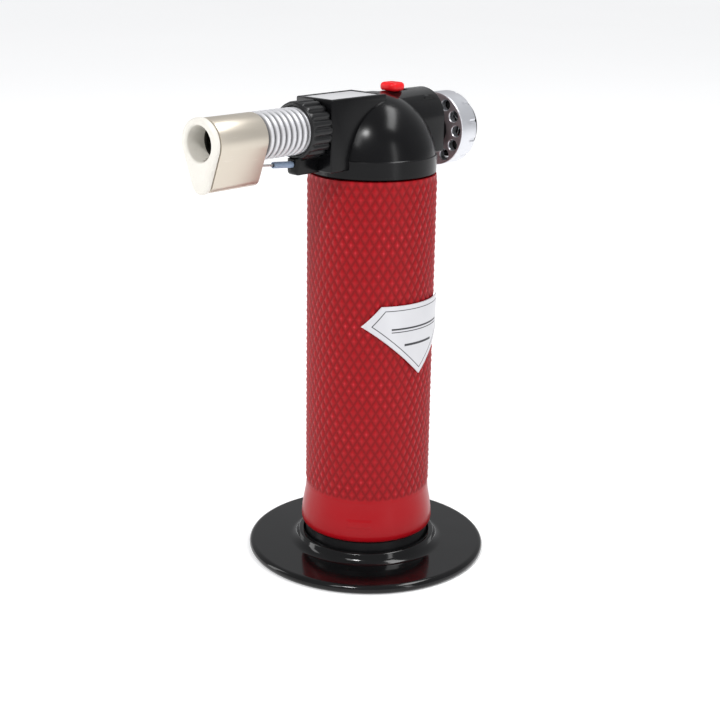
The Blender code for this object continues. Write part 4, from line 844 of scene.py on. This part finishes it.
sleeve = prism("steel_sleeve", drop(0.0), -sleeve_high.y, -sleeve_low.y, "Y")
soften(sleeve, 0.12 * MM, 2, 60.0)
combine(sleeve, prism("sleeve_inside", drop(0.5 * MM), 40 * MM, 70 * MM, "Y"))
stainless = Finish("stainless_sleeve", (0.70, 0.66, 0.59), 0.34, 0.80)
brushed = stainless.grain(900.0, 5.0, (1.0, 0.06, 1.0))
tint = stainless.grain(45.0, 3.0)
scratch = stainless.step(stainless.grain(700.0, 6.0, (1.0, 0.2, 3.0)), 0.64, 0.76)
base_tint = stainless.blend(tint, (0.64, 0.585, 0.50), (0.57, 0.515, 0.435))
stainless.feed("Base Color", stainless.blend(scratch * 0.35, base_tint, (0.80, 0.77, 0.70)))
stainless.feed("Roughness", 0.30 + brushed * 0.14 + scratch * 0.06)
stainless.relief(brushed, 0.0016 * MM)
hand_over(sleeve, stainless.material, "torch", "brushed_steel", "nozzle_sleeve", angle=35.0)

# The spark rod's tube ---------------------------------------------------------------------------
# A blue-grey insulating tube, cut square, that carries the spark rod out below the air collar.
length = (tube_end - tube_start).length
sheath_r = tube_high.x
rod_hole_r = 0.55 * MM
edge = 0.1 * MM
sheath = [(rod_hole_r, length - edge), (rod_hole_r + edge, length), (sheath_r - edge, length)]
sheath += [(sheath_r, length - edge), (sheath_r, 0.0), (rod_hole_r, 0.0)]
insulator = lathe("spark_tube", sheath, 40)
insulator.data.transform(Matrix.Translation(tube_start) @ tube_tilt)
blue_grey = moulded("blue_grey_tube", (0.20, 0.26, 0.36), 0.42, 0.08, 0.01 * MM)
hand_over(insulator, blue_grey, "torch", "blue_grey_insulator", "electrode_insulator")

# The gas ring -----------------------------------------------------------------------------------
# A plated die casting that turns on the head's neck: a flat front plate with a ring of holes, and a
# drum with shallow finger notches round its rear edge.
ring_low, ring_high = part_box("gas_flow_ring")
drum_r = 11.0 * MM
drum_front, drum_rear = -ring_low.y, -ring_high.y
plate_back = drum_front - 2.0 * MM
hub_r = 4.7 * MM
drum_round = 0.45 * MM
drum_in = drum_r - 1.6 * MM
notches = 12


def notched(angle, radius, height):
    """Shallow finger notches at the rear edge of the drum."""
    if radius < drum_r - 0.6 * MM:
        return radius
    near = min(1.0, max(0.0, (drum_rear + 3.2 * MM - height) / (0.5 * MM)))
    wave = math.cos((angle - math.pi / notches) * notches)
    return radius - 0.35 * MM * near * max(0.0, (wave - 0.86) / 0.14) ** 0.5


drum = [(hub_r, drum_front), (drum_r - drum_round, drum_front)]
drum += bend((drum_r - drum_round, drum_front - drum_round), drum_round, 75, 0, 5)
for i in range(1, 13):
    drum.append((drum_r - 0.1 * MM * i / 12, drum_front - 0.5 * MM - 6.2 * MM * i / 12))
drum += [(drum_r - 0.25 * MM, drum_rear + 0.15 * MM), (drum_r - 0.6 * MM, drum_rear)]
drum += [(drum_in, drum_rear), (drum_in, plate_back), (hub_r, plate_back)]
gas_ring = lathe("gas_ring", drum[::-1], 240, notched, forward=True, at=(0.0, 0.0, knob_z))
holes = 12
hole_ring_r = 8.5 * MM
countersink = [(0.0, 0.0), (1.95 * MM, 0.0), (1.55 * MM, -0.4 * MM), (0.0, -0.4 * MM)]
for hole in range(holes):
    angle = 2 * math.pi / holes * hole
    x, z = hole_ring_r * math.cos(angle), knob_z + hole_ring_r * math.sin(angle)
    in_front = (x, -drum_front - 1 * MM, z)
    combine(gas_ring, dowel("air_hole", 1.6 * MM, in_front, -plate_back + 0.6 * MM, "Y", 40))
    mouth_at = (x, ring_low.y - 0.12 * MM, z)
    combine(gas_ring, lathe("hole_edge", countersink, 41, forward=True, at=mouth_at))
chrome = Finish("plated_drum", (0.70, 0.71, 0.74), 0.30, 0.85)
depth_way = chrome.node("ShaderNodeSeparateXYZ", {}, {"Vector": chrome.place}, "Y")
face = 1.0 - chrome.step(depth_way, ring_low.y + 0.05 * MM, ring_low.y + 0.14 * MM)
haze = chrome.grain(500.0, 4.0)
swirl = chrome.grain(160.0, 3.0)
wipe = chrome.step(chrome.grain(380.0, 6.0, (2.0, 0.4, 1.0)), 0.60, 0.74)
plated = chrome.blend(swirl, (0.60, 0.61, 0.65), (0.72, 0.73, 0.76))
# The front face is painted a dull brown with less metal to it, as a painted reflection of the dark
# surroundings that its plating mirrors.
face_reflection_brown = chrome.blend(swirl, (0.190, 0.150, 0.158), (0.270, 0.225, 0.235))
chrome.feed("Base Color", chrome.blend(face, plated, face_reflection_brown))
chrome.feed("Metallic", 0.85 - face * 0.45)
chrome.feed("Roughness", 0.26 + haze * 0.14 + wipe * 0.08 + face * 0.06)
chrome.relief(haze + wipe * 0.3, 0.003 * MM)
hand_over(gas_ring, chrome.material, "flow_ring", "chrome", "gas_flow_ring", angle=35.0)

# The ignition button ----------------------------------------------------------------------------
# A black cup with a domed back that the thumb pushes. Its stem runs through the neck, and an arm
# inside the head works the spark hammer and the gas lever.
button_low, button_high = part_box("ignition_button")
button_r = button_high.x - 0.02 * MM
back_z = -button_high.y
cup_floor = back_z + 1.6 * MM
cup_front = -32.7 * MM
cup_in = 7.8 * MM
cup_edge = 1.4 * MM
stem_r, stem_front = 2.6 * MM, -19.1 * MM
groove_z = back_z + 0.45 * MM
cup = [(0.0, stem_front), (stem_r, stem_front), (stem_r, cup_floor), (cup_in, cup_floor)]
cup += [(cup_in, cup_front), (8.8 * MM, cup_front), (button_r, cup_front - 0.2 * MM)]
cup += bend((button_r - cup_edge, back_z + 1.7 * MM), cup_edge, 0, -65, 7)
cup += [(6.2 * MM, back_z + 0.2 * MM), (6.0 * MM, groove_z), (5.5 * MM, groove_z)]
cup += [(5.3 * MM, back_z + 0.15 * MM), (stem_r, back_z + 0.02 * MM), (0.0, back_z)]
button = lathe("button", cup, 120, forward=True, at=(0.0, 0.0, knob_z))
for low, high in (
    ((-1.9 * MM, 17.2 * MM, knob_z - 2.6 * MM), (1.9 * MM, 20.1 * MM, 133.6 * MM)),
    ((-1.8 * MM, button_low.y, 132.0 * MM), (1.8 * MM, -stem_front, 133.5 * MM)),
):
    combine(button, slab("button_arm", low, high, 0.1 * MM, 1), "UNION")
button_black = moulded("button_black", (0.005, 0.005, 0.0055), 0.24, 0.05, 0.003 * MM,
                       specular_ior_level=0.35)
hand_over(button, button_black, "button", "black_plastic", "ignition_button")

# The springs ------------------------------------------------------------------------------------
# Three coils of bright wire: one brings the button back, and one closes each of the two valves.
def spring(name, node, axis, turns, wire_r, start, end, centre_r, middle):
    """A coil between two heights along an axis, with its wire's outer faces on both."""
    curve = bpy.data.curves.new(name, "CURVE")
    curve.dimensions = "3D"
    curve.bevel_depth = wire_r
    curve.bevel_resolution = 3
    curve.use_fill_caps = True
    coil = curve.splines.new("POLY")
    count = int(turns * 28)
    coil.points.add(count)
    for i, point in enumerate(coil.points):
        turn = 2 * math.pi * turns * i / count
        along = start + wire_r + (end - start - 2 * wire_r) * i / count
        a, b = centre_r * math.cos(turn), centre_r * math.sin(turn)
        place = (a, along, middle + b) if axis == "Y" else (a, b, along)
        point.co = (*place, 1.0)
    made = bpy.data.objects.new(name, curve)
    bpy.context.collection.objects.link(made)
    bpy.ops.object.select_all(action="DESELECT")
    made.select_set(True)
    bpy.context.view_layer.objects.active = made
    bpy.ops.object.convert(target="MESH")
    bpy.ops.object.mode_set(mode="EDIT")
    bpy.ops.mesh.select_all(action="SELECT")
    bpy.ops.mesh.remove_doubles(threshold=0.001 * MM)
    bpy.ops.mesh.normals_make_consistent(inside=False)
    bpy.ops.object.mode_set(mode="OBJECT")
    hand_over(made, bright.material, "torch", "spring_steel", node, angle=50.0)
    return made


low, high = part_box("button_spring")
push = spring("return_spring", "button_spring", "Y", 3.5, 0.35 * MM, low.y, high.y, 4.25 * MM,
              knob_z)
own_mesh(push)
low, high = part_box("outlet_valve_spring")
gas = spring("outlet_spring", "outlet_valve_spring", "Z", 4.0, 0.16 * MM, low.z, high.z,
             1.22 * MM, 0)
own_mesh(gas)
low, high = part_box("filler_valve_spring")
fill = spring("filler_spring", "filler_valve_spring", "Z", 4.0, 0.22 * MM, low.z, high.z,
              0.95 * MM, 0)
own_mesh(fill)


# The inner works --------------------------------------------------------------------------------
# Turned brass, drawn tube, rubber, felt and moulded cases, all held between the head's halves or in
# the tank's two plugs. These keep their own shapes, and each gets the finish of its stuff.
def metal(name, colour, roughness, mottle, scale, stretch=(1.0, 1.0, 1.0)):
    """Turned or drawn metal, with fine tool marks and a little tarnish."""
    finish = Finish(name, colour, roughness, 1.0)
    marks = finish.grain(scale, 4.0, stretch)
    tarnish = finish.step(finish.grain(180.0, 4.0), 0.4, 0.8)
    dull = [c * 0.66 for c in colour]
    finish.feed("Base Color", finish.blend(tarnish * 0.6, colour, dull))
    finish.feed("Roughness", roughness + (marks - 0.5) * mottle + tarnish * 0.1)
    finish.relief(marks, 0.006 * MM)
    return finish.material


def soft_stuff(name, colour, roughness, scale, depth, **shader_values):
    """Rubber, hose or felt: dull, with its own grain."""
    finish = Finish(name, colour, roughness, **shader_values)
    fibre = finish.grain(scale, 5.0)
    pale = [min(1.0, c * 1.35 + 0.01) for c in colour]
    finish.feed("Base Color", finish.blend(finish.step(fibre, 0.3, 0.75), colour, pale))
    finish.feed("Roughness", roughness + (fibre - 0.5) * 0.2)
    finish.relief(fibre, depth)
    return finish.material


brass = metal("turned_brass", (0.70, 0.49, 0.20), 0.26, 0.14, 1400.0)
drawn_steel = metal("drawn_steel", (0.60, 0.58, 0.55), 0.30, 0.16, 1200.0, (1.0, 0.1, 1.0))
# The flame holder, deep in the burner, gets a near-black steel.
near_black_steel = metal("heat_dark_steel", (0.10, 0.095, 0.085), 0.45, 0.2, 900.0)
plug_alloy = metal("plug_alloy", (0.72, 0.73, 0.75), 0.36, 0.16, 1100.0)
seal_rubber = soft_stuff("seal_rubber", (0.018, 0.018, 0.018), 0.62, 900.0, 0.01 * MM)
hose = soft_stuff("silicone_hose", (0.66, 0.64, 0.56), 0.42, 500.0, 0.006 * MM)
felt = soft_stuff("wick_felt", (0.68, 0.65, 0.58), 0.9, 1600.0, 0.08 * MM)
case_white = moulded("piezo_case", (0.72, 0.69, 0.60), 0.4)
lead_black = soft_stuff("lead_jacket", (0.02, 0.02, 0.02), 0.45, 700.0, 0.004 * MM)
finishes = {
    "tank_foot_seal": seal_rubber, "tank_top_seal": seal_rubber,
    "filler_valve_body": brass, "filler_valve_stem": brass,
    "outlet_valve_body": brass, "outlet_valve_stem": brass,
    "jet_holder": brass, "gas_jet": brass, "gas_lever": brass,
    "tank_top_plug": plug_alloy, "gas_wick": felt, "gas_hose": hose,
    "mixing_tube": drawn_steel, "lever_pin": drawn_steel, "electrode_rod": drawn_steel,
    "flame_holder": near_black_steel, "piezo_igniter": case_white, "piezo_plunger": case_white,
    "igniter_lead": lead_black,
}
for node, material in finishes.items():
    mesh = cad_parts[node].data
    mesh.materials.clear()
    mesh.materials.append(material)

# The table --------------------------------------------------------------------------------------
# A white laminate sheet, with the least trace of unevenness in its sheen.
laminate = Finish("white_laminate", (0.93, 0.93, 0.93), 0.55, emission_strength=0.18)
laminate.shader.inputs["Emission Color"].default_value = (1.0, 1.0, 1.0, 1.0)
sheen = laminate.grain(3.0, 3.0)
laminate.feed("Base Color", laminate.blend(sheen, (0.92, 0.92, 0.92), (0.94, 0.94, 0.94)))
laminate.feed("Roughness", 0.5 + sheen * 0.1)
table_top.data.materials.append(laminate.material)
